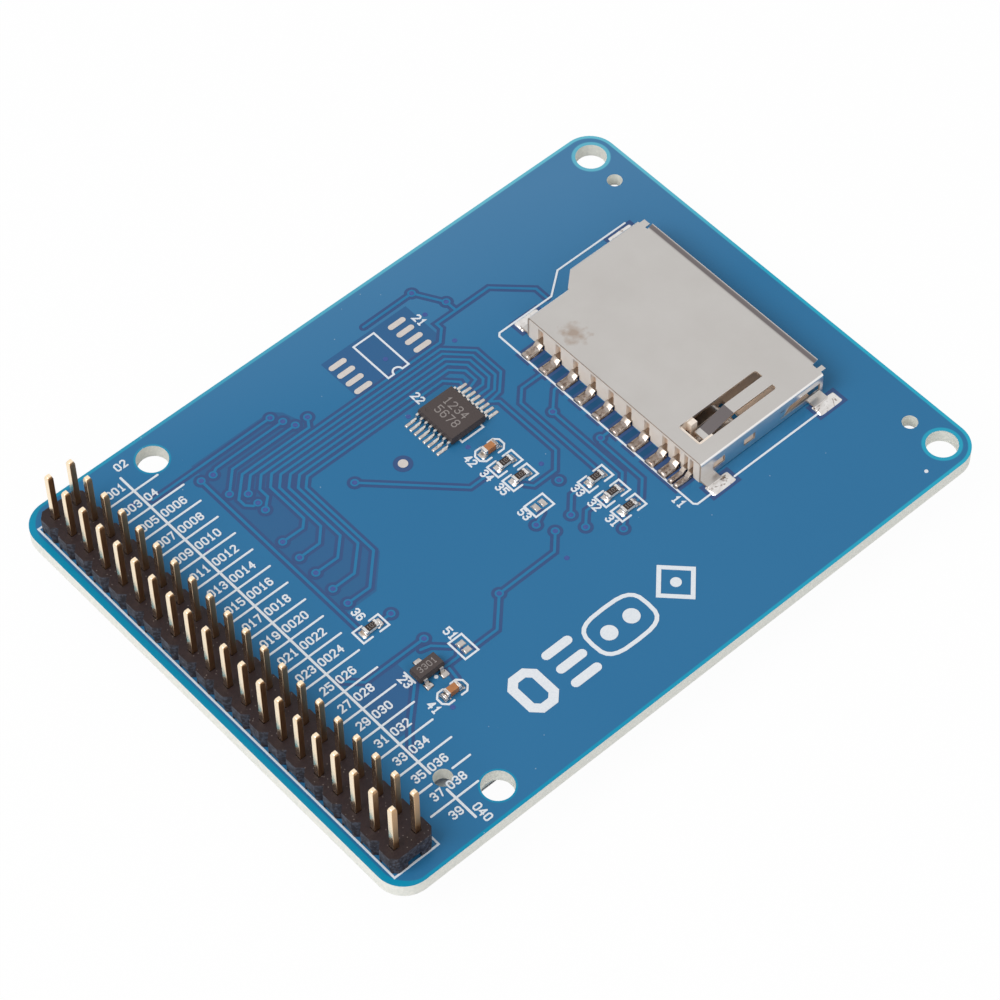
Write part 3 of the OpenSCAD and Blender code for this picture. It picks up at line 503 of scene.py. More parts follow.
def lacquered_glass_epoxy():
    """Blue epoxy lacquer over copper: a satin gloss, with a teal band where the copper stops."""
    material, tree = new_material("lacquered_glass_epoxy", IOR=1.47, Specular_IOR_Level=0.2)
    place = place_in_mm(tree)
    where = split_xyz(tree, place)
    # Lacquer pools and thins over centimetres. Towards the far corner it is painted lighter and paler: a
    # painted sheen.
    cloud = noise(tree, 25, 2.0, place)
    blues = between(tree, cloud, "2a6f9d", "3174a1")
    drift = calc(tree, "MULTIPLY_ADD", where["X"], 0.35, where["Y"])
    painted_sheen = ramp(tree, drift, 15, 35, 0.0, 0.3)
    sheened_blues = between(tree, painted_sheen, blues, "6d98bc")
    # Copper stops 0.4 mm short of the rim, and 0.7 mm short of it behind the header.
    header_side = ramp(tree, where["X"], 3 - HALF_L, 1 - HALF_L, 0.0, 0.3, soft=True)
    to_rim = calc(tree, "SUBTRACT", rim_distance(tree, place), header_side)
    band = ramp(tree, to_rim, 0.28, 0.42, 1.0, 0.0, soft=True)
    # Towards the card socket the rings widen, and their teal is painted lighter there: a painted sheen.
    far = ramp(tree, where["X"], -20, 34, 0.0, 1.0)
    spread = calc(tree, "MULTIPLY_ADD", far, -0.2, hole_distance(tree, place))
    ring = ramp(tree, spread, 0.1, 0.26, 0.85, 0.0, soft=True)
    bare = calc(tree, "MAXIMUM", band, ring)
    lit = between(tree, far, "0b8fb4", "2aa9c6")
    teal = between(tree, painted_sheen, lit, "a8e4ec")
    rimmed = between(tree, bare, sheened_blues, teal)
    dust = add_node(tree, "TexVoronoi", inputs={"Vector": place, "Scale": 1 / 2.2})
    speck = ramp(tree, dust.outputs["Distance"], 0.018, 0.03, 0.5, 0.0)
    dusty = between(tree, speck, rimmed, "c9d5dc")
    # The routed side: pressed glass layers about 0.18 mm apart, frayed by the cutter.
    fray = noise(tree, 0.35, 4.0, place)
    layers = calc(tree, "MULTIPLY_ADD", where["Z"], 2 * math.pi / 0.18, fray)
    wave = calc(tree, "SINE", layers)
    cut = calc(tree, "MULTIPLY_ADD", wave, 0.12, fray)
    edge = between(tree, cut, "d3d8d2", "fbf8f0")
    upright = face_normal(tree)
    facing = calc(tree, "ABSOLUTE", upright["Z"])
    is_face = calc(tree, "GREATER_THAN", facing, 0.7)
    colour = between(tree, is_face, edge, dusty)
    rough = ramp(tree, is_face, 0, 1, 0.85, 0.34)
    weave = ramp(tree, is_face, 0, 1, 0.6, 0.03)
    painted(tree, Base_Color=colour, Roughness=rough, Normal=dented(tree, cut, weave, 0.05))
    return material


dress("pcb", lacquered_glass_epoxy())
print("hole rings round x", HOLES_X - HOLES_DX, "and", HOLES_X + HOLES_DX, "mm")

# %% [markdown]
# ## Copper under the lacquer
#
# The signal tracks are the same copper as the field round them, set apart by an etched gap of a third of a
# millimetre where the lacquer lies on dark laminate. We draw the gaps as wide flat strokes just above the
# board, and the tracks as narrow strokes above those, so the relief is the real one: a track stands about
# 0.02 mm proud. Some corners of the board have no copper field at all, and get a flat patch of the darker
# tone.

# %% Copper: finishes
def lacquer_tone(name, dark, light, patch):
    """The board's lacquer over another ground, clouded over the given length in mm."""
    return grained(name, patch, 2.0, (dark, light), Roughness=0.34, IOR=1.47, Specular_IOR_Level=0.2)


def lacquer_on_laminate():
    """The same blue lacquer with no copper behind it: a darker, more violet tone."""
    return lacquer_tone("lacquer_on_laminate", "36507f", "3c5985", 6)


def lacquer_on_open_laminate():
    """Wide patches without copper look a little greener, because more light scatters back."""
    return lacquer_tone("lacquer_on_open_laminate", "345f91", "31668f", 7)


def lacquer_on_track():
    """Lacquer over a narrow track: thin at its shoulders, so slightly lighter than the field."""
    return lacquer_tone("lacquer_on_track", "2b76a4", "2c7ba8", 3)


def lacquer_in_tail_shade():
    """Lacquer between two pads of a row, painted a stronger, darker blue: painted shade."""
    return lacquer_tone("lacquer_in_tail_shade", "184871", "22577f", 1.2)


gap_finish = lacquer_on_laminate()
patch_finish = lacquer_on_open_laminate()
track_finish = lacquer_on_track()
tail_shade_finish = lacquer_in_tail_shade()
print("four tones of lacquer")

# %% Copper: routes, in mm from the board's centre
routes = {
    "long": [(-25.8, 20.85), (-11.33, 20.9)],
    "short_top": [(-19.7, 19.3), (-19.0, 19.72), (-10.7, 19.75)],
    "short_mid": [(-20.0, 16.5), (-17.9, 18.6), (-10.1, 18.6)],
    "spine": [(-21.0, 19.5), (-21.03, -3.5)],
    "hook": [(-18.65, 13.9), (-19.2, 13.9), (-19.75, 14.5), (-19.75, 15.4), (-17.6, 17.5), (-9.3, 17.5),
             (-8.6, 18.55)],
    "bus_1": [(-18.65, 15.33), (-17.1, 16.88), (6.9, 16.88), (8.15, 18.1), (8.15, 18.85), (15.0, 18.85),
              (18.35, 15.6), (18.35, 14.0)],
    "bus_2": [(-18.65, 12.8), (-17.5, 13.85), (-17.5, 15.0), (-16.3, 16.25), (6.35, 16.25), (8.85, 13.75),
              (8.85, 10.2), (7.1, 8.45), (5.5, 8.2)],
    "bus_3": [(-19.83, 8.85), (-17.4, 8.8), (-16.6, 9.6), (-16.6, 14.5), (-15.5, 15.67), (6.1, 15.67),
              (8.2, 13.55), (8.2, 10.3), (6.9, 8.95), (5.5, 8.85)],
    "bus_4": [(-19.83, 6.4), (-17.4, 6.4), (-16.0, 7.85), (-16.0, 13.9), (-14.9, 15.03), (5.85, 15.03),
              (7.6, 13.3), (7.6, 10.5), (6.6, 9.5), (5.5, 9.5)],
    "bus_5": [(-19.83, 4.05), (-17.2, 4.0), (-15.35, 5.8), (-15.35, 13.3), (-14.2, 14.42), (5.6, 14.42),
              (7.0, 13.0), (7.0, 10.7), (6.5, 10.2), (5.5, 10.2)],
    "bus_6": [(-19.83, 1.6), (-17.2, 1.6), (-14.7, 4.0), (-14.7, 12.7), (-13.6, 13.8), (5.2, 13.8),
              (6.4, 12.6), (6.4, 11.1), (5.5, 10.8)],
    "bus_7": [(-19.83, -0.55), (-17.2, -0.6), (-14.15, 2.4), (-14.15, 12.2), (-13.2, 13.15), (3.9, 13.15),
              (5.1, 11.9), (5.0, 11.5)],
    "to_spare": [(2.6, 23.35), (8.9, 23.4), (10.7, 20.3), (10.7, 18.85)],
    "to_divider": [(-10.35, 9.55), (-2.6, 1.75), (0.4, 1.75)],
    "supply": [(-14.3, -12.05), (-11.6, -12.05), (-8.75, -9.17), (-1.75, -9.1), (-0.1, -7.4)],
    "supply_start": [(-17.8, -11.9), (-16.2, -11.9), (-15.6, -11.2)],
    "jumper_low": [(-0.95, -5.67), (0.5, -5.0)],
    "pull_3": [(2.25, -7.0), (3.9, -5.3), (5.8, -5.3)],
    "pull_2": [(2.33, -8.97), (3.7, -7.6), (5.8, -7.7)],
    "pull_1": [(4.83, -11.5), (5.9, -10.5)],
    "card_1": [(5.6, 8.2), (6.35, 7.6), (6.35, -0.4), (4.7, -2.15), (2.0, -2.15), (1.4, -1.4)],
    "card_2": [(11.6, 7.35), (9.0, 7.35), (7.7, 6.05), (7.7, -4.7)],
    "card_3": [(11.6, 5.1), (11.2, 5.1), (9.25, 3.2), (9.25, -6.6), (8.2, -7.65)],
    "card_4": [(11.6, -2.2), (10.5, -2.2), (10.15, -2.6), (10.15, -8.4), (8.6, -9.95), (8.0, -9.95)],
    "sense": [(-17.25, -8.28), (-24.4, -8.28), (-26.0, -6.7)],
    "ground_tail": [(-21.2, -11.5), (-24.5, -14.6), (-26.2, -16.6)],
    "cap_tail": [(-17.7, -12.3), (-17.9, -13.6)],
    "supply_top": [(-18.3, -9.0), (-17.3, -9.3), (-16.0, -10.6)],
    "reset_tail": [(-19.4, -4.15), (-17.67, -4.13)],
}
ringed_vias = [(-11.33, 20.9), (-19.7, 19.3), (-10.7, 19.75), (-20.0, 16.5), (-10.1, 18.6), (-21.0, 19.5),
               (-18.65, 13.9), (-8.6, 18.55), (-18.65, 15.33), (-18.65, 12.8), (-19.83, 8.85),
               (-19.83, 6.4), (-19.83, 4.05), (-19.83, 1.6), (-19.83, -0.55), (8.9, 23.4), (10.7, 20.3),
               (-10.35, 9.55), (-8.75, -9.17), (-0.1, -7.4), (-0.95, -5.67), (2.25, -7.0), (2.33, -8.97),
               (4.83, -11.5), (9.25, 3.2), (10.5, -2.2), (-17.25, -8.28), (-17.67, -4.13), (4.17, -3.25)]
field_vias = [(4.25, -0.67), (0.4, 5.5), (-1.38, -10.4), (-20.25, -15.67), (-1.4, 12.1), (8.1, 20.5),
              (8.1, 16.1), (1.6, 18.9), (-25.7, 12.8), (-27.6, 21.7)]
open_patches = [
    [(-20.6, -1.3), (-17.0, -1.3), (-13.8, 1.9), (-13.8, 12.7), (-12.9, 13.6), (-12.9, 17.2), (-8.9, 17.3),
     (-10.0, 20.6), (-10.9, 21.5), (-20.6, 21.5)],
    [(-3.5, 17.3), (6.8, 17.3), (7.4, 18.0), (7.4, 22.6), (-3.5, 22.6)],
    [(-26.2, -8.7), (-20.9, -8.7), (-20.9, -11.6), (-24.3, -14.9), (-26.2, -14.9)],
]
print(len(routes), "routes,", len(ringed_vias) + len(field_vias), "vias")

# %% Copper: pieces
TRACK_W = 0.28
GAP_W = 0.9
VIA_GAP_R = 0.76
VIA_RIM_R = 0.44
DIMPLE_R = 0.26
UNDER = TOP - 0.03 * MM
step = 0.0002 * MM
gaps = bmesh.new()
tracks = bmesh.new()
patches = bmesh.new()
dimples = bmesh.new()
for outline in open_patches:
    add_prism(patches, outline, [tuple(range(len(outline)))], UNDER, TOP + 0.003 * MM)
for i, path in enumerate(routes.values()):
    add_stroke(gaps, path, GAP_W, UNDER, TOP + 0.006 * MM + i * step)
    add_stroke(tracks, path, TRACK_W, UNDER, TOP + 0.022 * MM + i * step)
for i, (x, y) in enumerate(ringed_vias):
    add_disc(gaps, x, y, VIA_GAP_R, UNDER, TOP + 0.013 * MM + i * step)
    add_disc(tracks, x, y, VIA_RIM_R, UNDER, TOP + 0.03 * MM + i * step)
    add_disc(dimples, x, y, DIMPLE_R, UNDER, TOP + 0.04 * MM, steps=16)
for x, y in field_vias:
    add_disc(dimples, x, y, DIMPLE_R, UNDER, TOP + 0.02 * MM, steps=16)


# Every pad of the card socket has a clearance round it, where the copper field stops.
def add_clearance(x0, y0, x1, y1, rise):
    """A rectangle of bare laminate under a pad, wider than the pad all round."""
    add_prism(gaps, [(x0, y0), (x1, y0), (x1, y1), (x0, y1)], [(0, 1, 2, 3)], UNDER,
              TOP + (0.014 + rise) * MM)


def boxes_of_parts(node):
    """The boxes, in mm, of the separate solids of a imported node."""
    bm = bmesh.new()
    bm.from_mesh(nodes[node].data)
    bmesh.ops.remove_doubles(bm, verts=bm.verts, dist=MERGE)
    left = set(bm.verts)
    boxes = []
    while left:
        group = [left.pop()]
        for vert in group:
            near = {edge.other_vert(vert) for edge in vert.link_edges} & left
            left -= near
            group.extend(near)
        spots = [nodes[node].matrix_world @ vert.co for vert in group]
        boxes.append([(min(p[k] for p in spots) / MM, max(p[k] for p in spots) / MM) for k in range(3)])
    bm.free()
    return sorted(boxes)


TAILS_END = 12
PAD_GAP_X = 0.35
PAD_GAP_Y = 0.3
socket_pads = boxes_of_parts("card_solder")
for i, (xs, ys, zs) in enumerate(socket_pads):
    add_clearance(xs[0] - PAD_GAP_X, ys[0] - PAD_GAP_Y, xs[1] + PAD_GAP_X, ys[1] + PAD_GAP_Y,
                  i * 0.0002)
# Between the tails of the card socket the lacquer is painted darker: painted shade.
tail_shade_strips = bmesh.new()
tail_pads = [box for box in socket_pads if box[0][0] < TAILS_END]
for (_, lower, _), (_, upper, _) in zip(tail_pads, tail_pads[1:]):
    y0, y1 = lower[1] + PAD_GAP_Y, upper[0] - PAD_GAP_Y
    if y1 > y0:
        add_prism(tail_shade_strips, [(11.9, y0), (13.7, y0), (13.7, y1), (11.9, y1)], [(0, 1, 2, 3)], UNDER,
                  TOP + 0.02 * MM)
piece_from(tail_shade_strips, "painted_shade_between_tails", tail_shade_finish)
flat_pads = boxes_of_parts("bare_pads")
target = next(box for box in flat_pads if abs(box[0][1] - box[0][0] - box[1][1] + box[1][0]) < 0.05)
target_x, target_y = (sum(target[k]) / 2 for k in (0, 1))
add_disc(gaps, target_x, target_y, 0.98, UNDER, TOP + 0.018 * MM, steps=32)
print("pads of the card socket:", len(socket_pads), "and a bare target at", round(target_x, 2),
      round(target_y, 2))
piece_from(patches, "open_laminate", patch_finish)
piece_from(gaps, "etched_gaps", gap_finish)
piece_from(tracks, "copper_tracks", track_finish)


def filled_via():
    """A lacquer-filled hole: a small dark violet dimple with a wet gloss."""
    return grained("filled_via", 0.2, 2.0, ("36478a", "4a66a4"), Roughness=0.2, IOR=1.47,
                   Specular_IOR_Level=0.3)


piece_from(dimples, "via_dimples", filled_via())

# %% [markdown]
# ## White print
#
# The labels, outlines and pin table are screen-printed in white ink, about 0.2 mm wide, with the rounded
# stroke ends of a plotter font. Real board lettering would name signals and makers. Here it is plain
# numbers, drawn by a small stroke font of ten digits, and the approval marks are left as simple shapes.

# %% Print: ink and digits
def screen_printed_ink():
    """Matt white epoxy ink, slightly thin and uneven, on which the blue shows a little."""
    return grained("screen_printed_ink", 0.15, 3.0, ("d5dde6", "f2f4f6"), dent=(0.3, 0.01), Roughness=0.6,
                   IOR=1.5, Specular_IOR_Level=0.3)


# A stroke that ends where it starts is a closed ring, and no stroke crosses itself.
DIGITS = {
    "0": [[(1, 0), (3, 0), (4, 1), (4, 5), (3, 6), (1, 6), (0, 5), (0, 1), (1, 0)]],
    "1": [[(0.8, 4.8), (2, 6), (2, 0)], [(0.8, 0), (3.2, 0)]],
    "2": [[(0, 5), (1, 6), (3, 6), (4, 5), (4, 4), (0, 0), (4, 0)]],
    "3": [[(0, 5), (1, 6), (3, 6), (4, 5), (4, 4), (3, 3.1), (1.5, 3.1)],
          [(3, 3.1), (4, 2.2), (4, 1), (3, 0), (1, 0), (0, 1)]],
    "4": [[(3, 0), (3, 6)], [(3, 6), (0, 2), (4, 2)]],
    "5": [[(4, 6), (0, 6), (0, 3.6), (3, 3.6), (4, 2.6), (4, 1), (3, 0), (1, 0), (0, 0.8)]],
    "6": [[(0, 3.5), (0, 1), (1, 0), (3, 0), (4, 1), (4, 2.5), (3, 3.5), (0, 3.5)],
          [(4, 5.2), (3, 6), (1, 6), (0, 5), (0, 3.5)]],
    "7": [[(0, 6), (4, 6), (1.5, 0)]],
    "8": [[(1, 3.1), (0, 4), (0, 5), (1, 6), (3, 6), (4, 5), (4, 4), (3, 3.1), (1, 3.1)],
          [(1, 3.1), (0, 2.2), (0, 1), (1, 0), (3, 0), (4, 1), (4, 2.2), (3, 3.1)]],
    "9": [[(4, 2.5), (4, 5), (3, 6), (1, 6), (0, 5), (0, 3.5), (1, 2.5), (4, 2.5)],
          [(4, 2.5), (4, 1), (3, 0), (1, 0), (0, 0.8)]],
}


def number_width(text, size):
    """The printed width of a number in mm."""
    return (len(text) * 0.76 - 0.17) * size


def add_number(bm, text, x, y, size, width, low, high, turned=False):
    """Draws digits from their lower left corner. Turned text reads towards -Y with its top towards +X."""
    unit = size * 0.83 / 6
    for i, figure in enumerate(text):
        for k, stroke in enumerate(DIGITS[figure]):
            path = []
            for u, v in stroke:
                along = i * 0.76 * size + 0.085 * size + u * unit * 0.86
                rise = 0.085 * size + v * unit
                path.append((x + rise, y - along) if turned else (x + along, y + rise))
            ring = stroke[0] == stroke[-1]
            add_stroke(bm, path[:-1] if ring else path, width, low, high + (3 * i + k) * step, closed=ring)


ink = screen_printed_ink()
print("a two-digit label is", round(number_width("12", 0.95), 2), "mm wide")

# %% Print: the pin table and the outlines
INK = TOP + 0.05 * MM
LABEL_INK = TOP + 0.06 * MM
LINE = 0.2
PEN = 0.16
LABEL = 0.95
table = bmesh.new()
table_x = -26.45
TABLE_LEFT = -29.4
TABLE_RIGHT = -22.5
TABLE_LINE = 0.21
rows_y = [22.85 - 2.553 * i for i in range(PIN_ROWS - 1)]
add_stroke(table, [(table_x, 24.9), (table_x, -19.6)], 0.25, UNDER, INK)
add_stroke(table, [(table_x, -21.9), (table_x, -25.75)], 0.25, UNDER, INK)
for i, y in enumerate(rows_y):
    left, right = TABLE_LEFT, TABLE_RIGHT
    if i == 0:
        right = -23.6
    if i == PIN_ROWS - 2:
        right = -23.8
    if i == PIN_ROWS - 3:
        add_stroke(table, [(left, y), (-27.1, y)], TABLE_LINE, UNDER, INK + (i + 1) * step)
        left = -24.6
    add_stroke(table, [(left, y), (right, y)], TABLE_LINE, UNDER, INK + (i + 1) * step)
header_box = [(-35.9, 25.4), (-30.75, 25.4), (-30.75, -25.65), (-35.9, -25.65)]
add_stroke(table, header_box, LINE, UNDER, INK, closed=True)
piece_from(table, "printed_pin_table", ink)

labels = bmesh.new()
for i in range(PIN_ROWS):
    y = FIRST_PIN_Y - PITCH * i - 0.42
    left = str(2 * i + 1).zfill(3 if i < 12 else 2)
    right = str(2 * i + 2).zfill(4 if 2 <= i < 12 else (2 if i < 2 else 3))
    add_number(labels, left, -26.85 - number_width(left, LABEL), y, LABEL, PEN, UNDER, LABEL_INK)
    if i == 0:
        add_number(labels, right, -26.2, 25.6, LABEL, PEN, UNDER, LABEL_INK)
    elif i == PIN_ROWS - 1:
        add_number(labels, right, -26.1, -24.75, LABEL, PEN, UNDER, LABEL_INK, turned=True)
    else:
        add_number(labels, right, -26.2, y, LABEL, PEN, UNDER, LABEL_INK)
piece_from(labels, "printed_pin_numbers", ink)

# %% Print: part outlines and part numbers
outlines = bmesh.new()
CHIP_L = 3.1
CHIP_W = 1.6


def add_chip_frame(bm, x, y, clipped=0.0):
    """Two brackets round a chip part. A capacitor's are clipped at the corners."""
    for side in (-1, 1):
        dx = side * CHIP_L / 2
        dy = CHIP_W / 2
        end = side * 0.45
        if clipped:
            path = [(x + end, y + dy), (x + dx - side * clipped, y + dy), (x + dx, y + dy - clipped),
                    (x + dx, y - dy + clipped), (x + dx - side * clipped, y - dy), (x + end, y - dy)]
        else:
            path = [(x + end, y + dy), (x + dx, y + dy), (x + dx, y - dy), (x + end, y - dy)]
        add_stroke(bm, path, LINE, UNDER, INK + side * step)


def centre_mm(node):
    """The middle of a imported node, in mm."""
    low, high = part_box(node)
    return ((low.x + high.x) / 2 / MM, (low.y + high.y) / 2 / MM)


resistors = ["resistor_%d" % i for i in range(1, 7)]
capacitors = ["capacitor_1", "capacitor_2"]
for name in resistors:
    add_chip_frame(outlines, *centre_mm(name))
for name in capacitors:
    add_chip_frame(outlines, *centre_mm(name), clipped=0.45)
jumpers = [((-0.35, -3.35), (1.95, -5.0)), ((-15.95, -10.2), (-14.35, -12.55))]
for (x0, y0), (x1, y1) in jumpers:
    add_stroke(outlines, [(x0, y0), (x1, y0), (x1, y1), (x0, y1)], LINE, UNDER, INK, closed=True)
notch = [(1.5 + 0.55 * math.cos(math.radians(a)), 16.9 + 0.55 * math.sin(math.radians(a)))
         for a in range(0, 181, 30)]
add_stroke(outlines, [(0.25, 22.1), (2.85, 22.1), (2.85, 16.9)] + notch + [(0.25, 16.9)], LINE, UNDER, INK,
           closed=True)
add_stroke(outlines, [(0.4, 6.75), (0.4, 6.3), (3.1, 6.3), (3.1, 6.75)], LINE, UNDER, INK)
add_stroke(outlines, [(-21.05, -9.9), (-21.05, -11.4)], LINE, UNDER, INK)
socket_line = [(13.75, -14.1), (11.95, -14.1), (11.66, -13.8), (11.66, 13.55), (11.95, 13.85),
               (18.8, 13.85), (21.5, 15.9), (30.6, 15.9)]
add_stroke(outlines, socket_line, LINE, UNDER, INK)
add_stroke(outlines, [(16.8, -14.1), (28.0, -14.1)], LINE, UNDER, INK)
add_disc(outlines, -19.2, -12.2, 0.2, UNDER, INK)
add_disc(outlines, 30.65, -25.9, 0.2, UNDER, INK)
piece_from(outlines, "printed_outlines", ink)

part_numbers = bmesh.new()
numbers = [("42", -1.0, 4.75), ("34", -1.0, 2.4), ("35", -1.0, 0.25), ("53", -1.4, -3.35),
           ("33", 4.2, -4.7), ("32", 4.2, -7.0), ("31", 4.2, -9.45), ("21", 6.75, 21.0),
           ("22", 0.3, 13.8), ("36", -20.45, -1.5), ("51", -15.55, -8.8), ("23", -22.1, -10.05),
           ("41", -22.05, -13.9), ("11", 10.35, -12.05)]
for text, x, y in numbers:
    add_number(part_numbers, text, x, y, LABEL, 0.17, UNDER, LABEL_INK, turned=True)
piece_from(part_numbers, "printed_part_numbers", ink)

marks = bmesh.new()
MARK_Y = -19.25
BROAD = 0.95
ring = [(-15.0, 1.3), (-14.3, 2.0), (-13.0, 2.0), (-12.3, 1.3), (-12.3, -1.3), (-13.0, -2.0), (-14.3, -2.0),
        (-15.0, -1.3)]
add_stroke(marks, [(x, MARK_Y + dy) for x, dy in ring], BROAD, UNDER, INK, closed=True)
for dy in (2.0, 0, -2.0):
    add_stroke(marks, [(-10.2, MARK_Y + dy), (-7.6, MARK_Y + dy)], BROAD, UNDER, INK)
oval = []
for a in range(0, 360, 15):
    c, s = math.cos(math.radians(a)), math.sin(math.radians(a))
    x = -2.8 + 3.45 * math.copysign(abs(c) ** 0.6, c)
    oval.append((x, MARK_Y + 2.35 * math.copysign(abs(s) ** 0.6, s)))
add_stroke(marks, oval, 0.42, UNDER, INK, closed=True)
add_disc(marks, -4.2, MARK_Y, 0.85, UNDER, INK)
add_disc(marks, -1.4, MARK_Y, 0.85, UNDER, INK)
add_stroke(marks, [(4.25, MARK_Y + 2.3), (6.5, MARK_Y), (4.25, MARK_Y - 2.3), (2.0, MARK_Y)], 0.45, UNDER,
           INK, closed=True)
add_disc(marks, 4.25, MARK_Y, 0.55, UNDER, INK)
piece_from(marks, "printed_marks", ink)

# %% [markdown]
# ## Pins and header
#
# The pins are square brass wire with a thin gold flash, cut with a blunt pyramid tip. Gold has no colour of
# its own beyond what it mirrors, so the finish is a smooth metal with a little unevenness, and the floor
# and board do the rest. The strip is black glass-filled plastic, moulded, with fine dust in its texture.

# %% Pins and header
def gold_flashed_brass():
    """Thin bright gold over drawn brass: a warm mirror with faint drawing marks along the pin."""
    material, tree = new_material("gold_flashed_brass", Metallic=1.0, Roughness=0.22)
    stretch = vector(tree, "MULTIPLY", place_in_mm(tree), (1, 1, 0.12))
    drawn = noise(tree, 0.12, 3.0, stretch)
    tone = between(tree, drawn, "fbdaab", "fff5e0")
    rough = ramp(tree, drawn, 0, 1, 0.1, 0.26)
    # Sides facing along Y: painted browner as a painted dark reflection of the black strip, and rougher.
    turn = face_normal(tree)
    across = calc(tree, "ABSOLUTE", turn["Y"])
    side_tint = ramp(tree, across, 0.3, 0.8, 0.0, 0.85)
    gold = between(tree, side_tint, tone, "b08355")
    dull = calc(tree, "MULTIPLY_ADD", side_tint, 0.2, rough)
    painted(tree, Base_Color=gold, Roughness=dull, Normal=dented(tree, drawn, 0.12, 0.01))
    return material


def black_filled_nylon():
    """Moulded nylon with glass fibre: brown-black and pitted, with pale dust and painted sheen on its sides.
    """
    material, tree = new_material("black_filled_nylon", IOR=1.53, Specular_IOR_Level=0.22)
    place = place_in_mm(tree)
    skin = noise(tree, 0.35, 5.0, place, Roughness=0.65)
    tone = between(tree, skin, "171012", "35282a")
    dust = add_node(tree, "TexVoronoi", inputs={"Vector": place, "Scale": 1 / 0.45})
    dusty = between(tree, ramp(tree, dust.outputs["Distance"], 0.08, 0.14, 0.45, 0.0), tone, "a99f9a")
    # The upright sides are painted bluish grey in patches: a painted sheen.
    upright = face_normal(tree)
    side = ramp(tree, upright["Z"], 0.2, 0.6, 0.6, 0.0)
    patch = ramp(tree, skin, 0.46, 0.6, 0.05, 1.0)
    side_sheen = calc(tree, "MULTIPLY", side, patch)
    side_sheened = between(tree, side_sheen, dusty, "545a68")
    rough = ramp(tree, skin, 0, 1, 0.36, 0.66)
    painted(tree, Base_Color=side_sheened, Roughness=rough, Normal=dented(tree, skin, 0.7, 0.07))
    return material


eased("header_pins", 0.05, gold_flashed_brass())
eased("header_body", 0.07, black_filled_nylon())

# %% [markdown]
# ## The card socket
#
# The cover is thin nickel-plated steel, stamped and folded, then handled before soldering, so its satin
# surface carries faint cloudy stains. The body below is a cream heat-proof polymer. The contacts are tinned
# bronze, and they end in flat tails that the solder wets.

# %% Card socket
LIP_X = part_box("card_cover")[1].x / MM - 0.36


def satin_nickel_steel():
    """Nickel-plated steel: even grey satin, a painted highlight on bends, a painted dark reflection on the
    lip.
    """
    material, tree = new_material("satin_nickel_steel", Metallic=1.0)
    place = place_in_mm(tree)
    haze = noise(tree, 5, 4.0, place, Roughness=0.6)
    grain = noise(tree, 0.12, 2.0, place)
    satin = between(tree, haze, "bbb7b3", "c7c4c1")
    # The lip and the tongue lean towards the rear: their normal turns from straight up towards -X.
    lean = face_normal(tree)
    # Bends, sides and cut edges get a lighter base colour than the flat sheet: a painted highlight.
    tone = between(tree, ramp(tree, lean["Z"], 0.78, 0.88, 0.9, 0.0), satin, "f4f2f0")
    # The lip and the tongue are painted dark grey: a painted dark reflection.
    tipped = ramp(tree, lean["X"], -0.2, -0.08, 1.0, 0.0)
    upward = ramp(tree, lean["Z"], 0.7, 0.85, 0.0, 0.92)
    along = split_xyz(tree, place)
    from_line = calc(tree, "SUBTRACT", along["X"], LIP_X)
    off_line = calc(tree, "ABSOLUTE", from_line)
    on_lip = ramp(tree, off_line, 0.14, 0.3, 1.0, 0.1, soft=True)
    on_tongue = calc(tree, "LESS_THAN", along["X"], LIP_X - 1.5)
    where_dark = calc(tree, "MAXIMUM", on_lip, on_tongue)
    rear_slope = calc(tree, "MULTIPLY", tipped, upward)
    shade = calc(tree, "MULTIPLY", rear_slope, where_dark)
    lip_shaded = between(tree, shade, tone, "676061")
    cut = ramp(tree, lean["X"], -0.95, -0.8, 1.0, 0.0)
    side_tint = between(tree, cut, lip_shaded, "cbb9a8")
    spot = vector(tree, "DISTANCE", place, (15.75, 7.2, 9.1))
    ragged = noise(tree, 0.9, 5.0, place)
    spread = calc(tree, "MULTIPLY_ADD", ragged, -4.0, spot.outputs["Value"])
    stained = between(tree, ramp(tree, spread, -1.9, -0.5, 0.55, 0.0), side_tint, "927358")
    satin_rough = ramp(tree, haze, 0, 1, 0.26, 0.38)
    rough = calc(tree, "MULTIPLY_ADD", cut, 0.45, satin_rough)
    painted(tree, Base_Color=stained, Roughness=rough, Normal=dented(tree, grain, 0.06, 0.02))
    return material


def cream_crystal_polymer():
    """Liquid-crystal polymer: dense cream and dull, with painted amber shade deep in its pocket."""
    material, tree = new_material("cream_crystal_polymer", Roughness=0.55, IOR=1.6)
    place = place_in_mm(tree)
    flow = noise(tree, 1.5, 4.0, place)
    cream = between(tree, flow, "f2e2d1", "fbf0e4")
    where = split_xyz(tree, place)
    # Deep in the pocket the cream is painted darker and amber: painted shade.
    deep = ramp(tree, where["Z"], 7.4, 8.5, 0.4, 0.0)
    inside = ramp(tree, where["X"], 14.1, 14.6, 0.0, 1.0)
    pocket_shade = calc(tree, "MULTIPLY", deep, inside)
    tone = between(tree, pocket_shade, cream, "e0a566")
    painted(tree, Base_Color=tone, Normal=dented(tree, flow, 0.15, 0.05))
    return material


def tinned_bronze():
    """Tin-plated phosphor bronze spring stock: bright silver, a little warm, nearly a mirror."""
    return grained("tinned_bronze", 0.3, 3.0, ("97887d", "c0b6ac"), (0.16, 0.3), (0.3, 0.02), Metallic=1.0)


bronze = tinned_bronze()
eased("card_cover", 0.045, satin_nickel_steel())
dress("card_base", cream_crystal_polymer())
eased("card_contacts", 0.06, bronze)
dress("card_switch_springs", bronze)

# %% [markdown]
# ## Solder, leads and chips
#
# Solder that has flowed is a smooth bright metal with a crinkled skin. The chips are black moulded epoxy
# with grey laser marking, the resistors white alumina with a dark glaze, and the capacitors a fired tan
# ceramic.

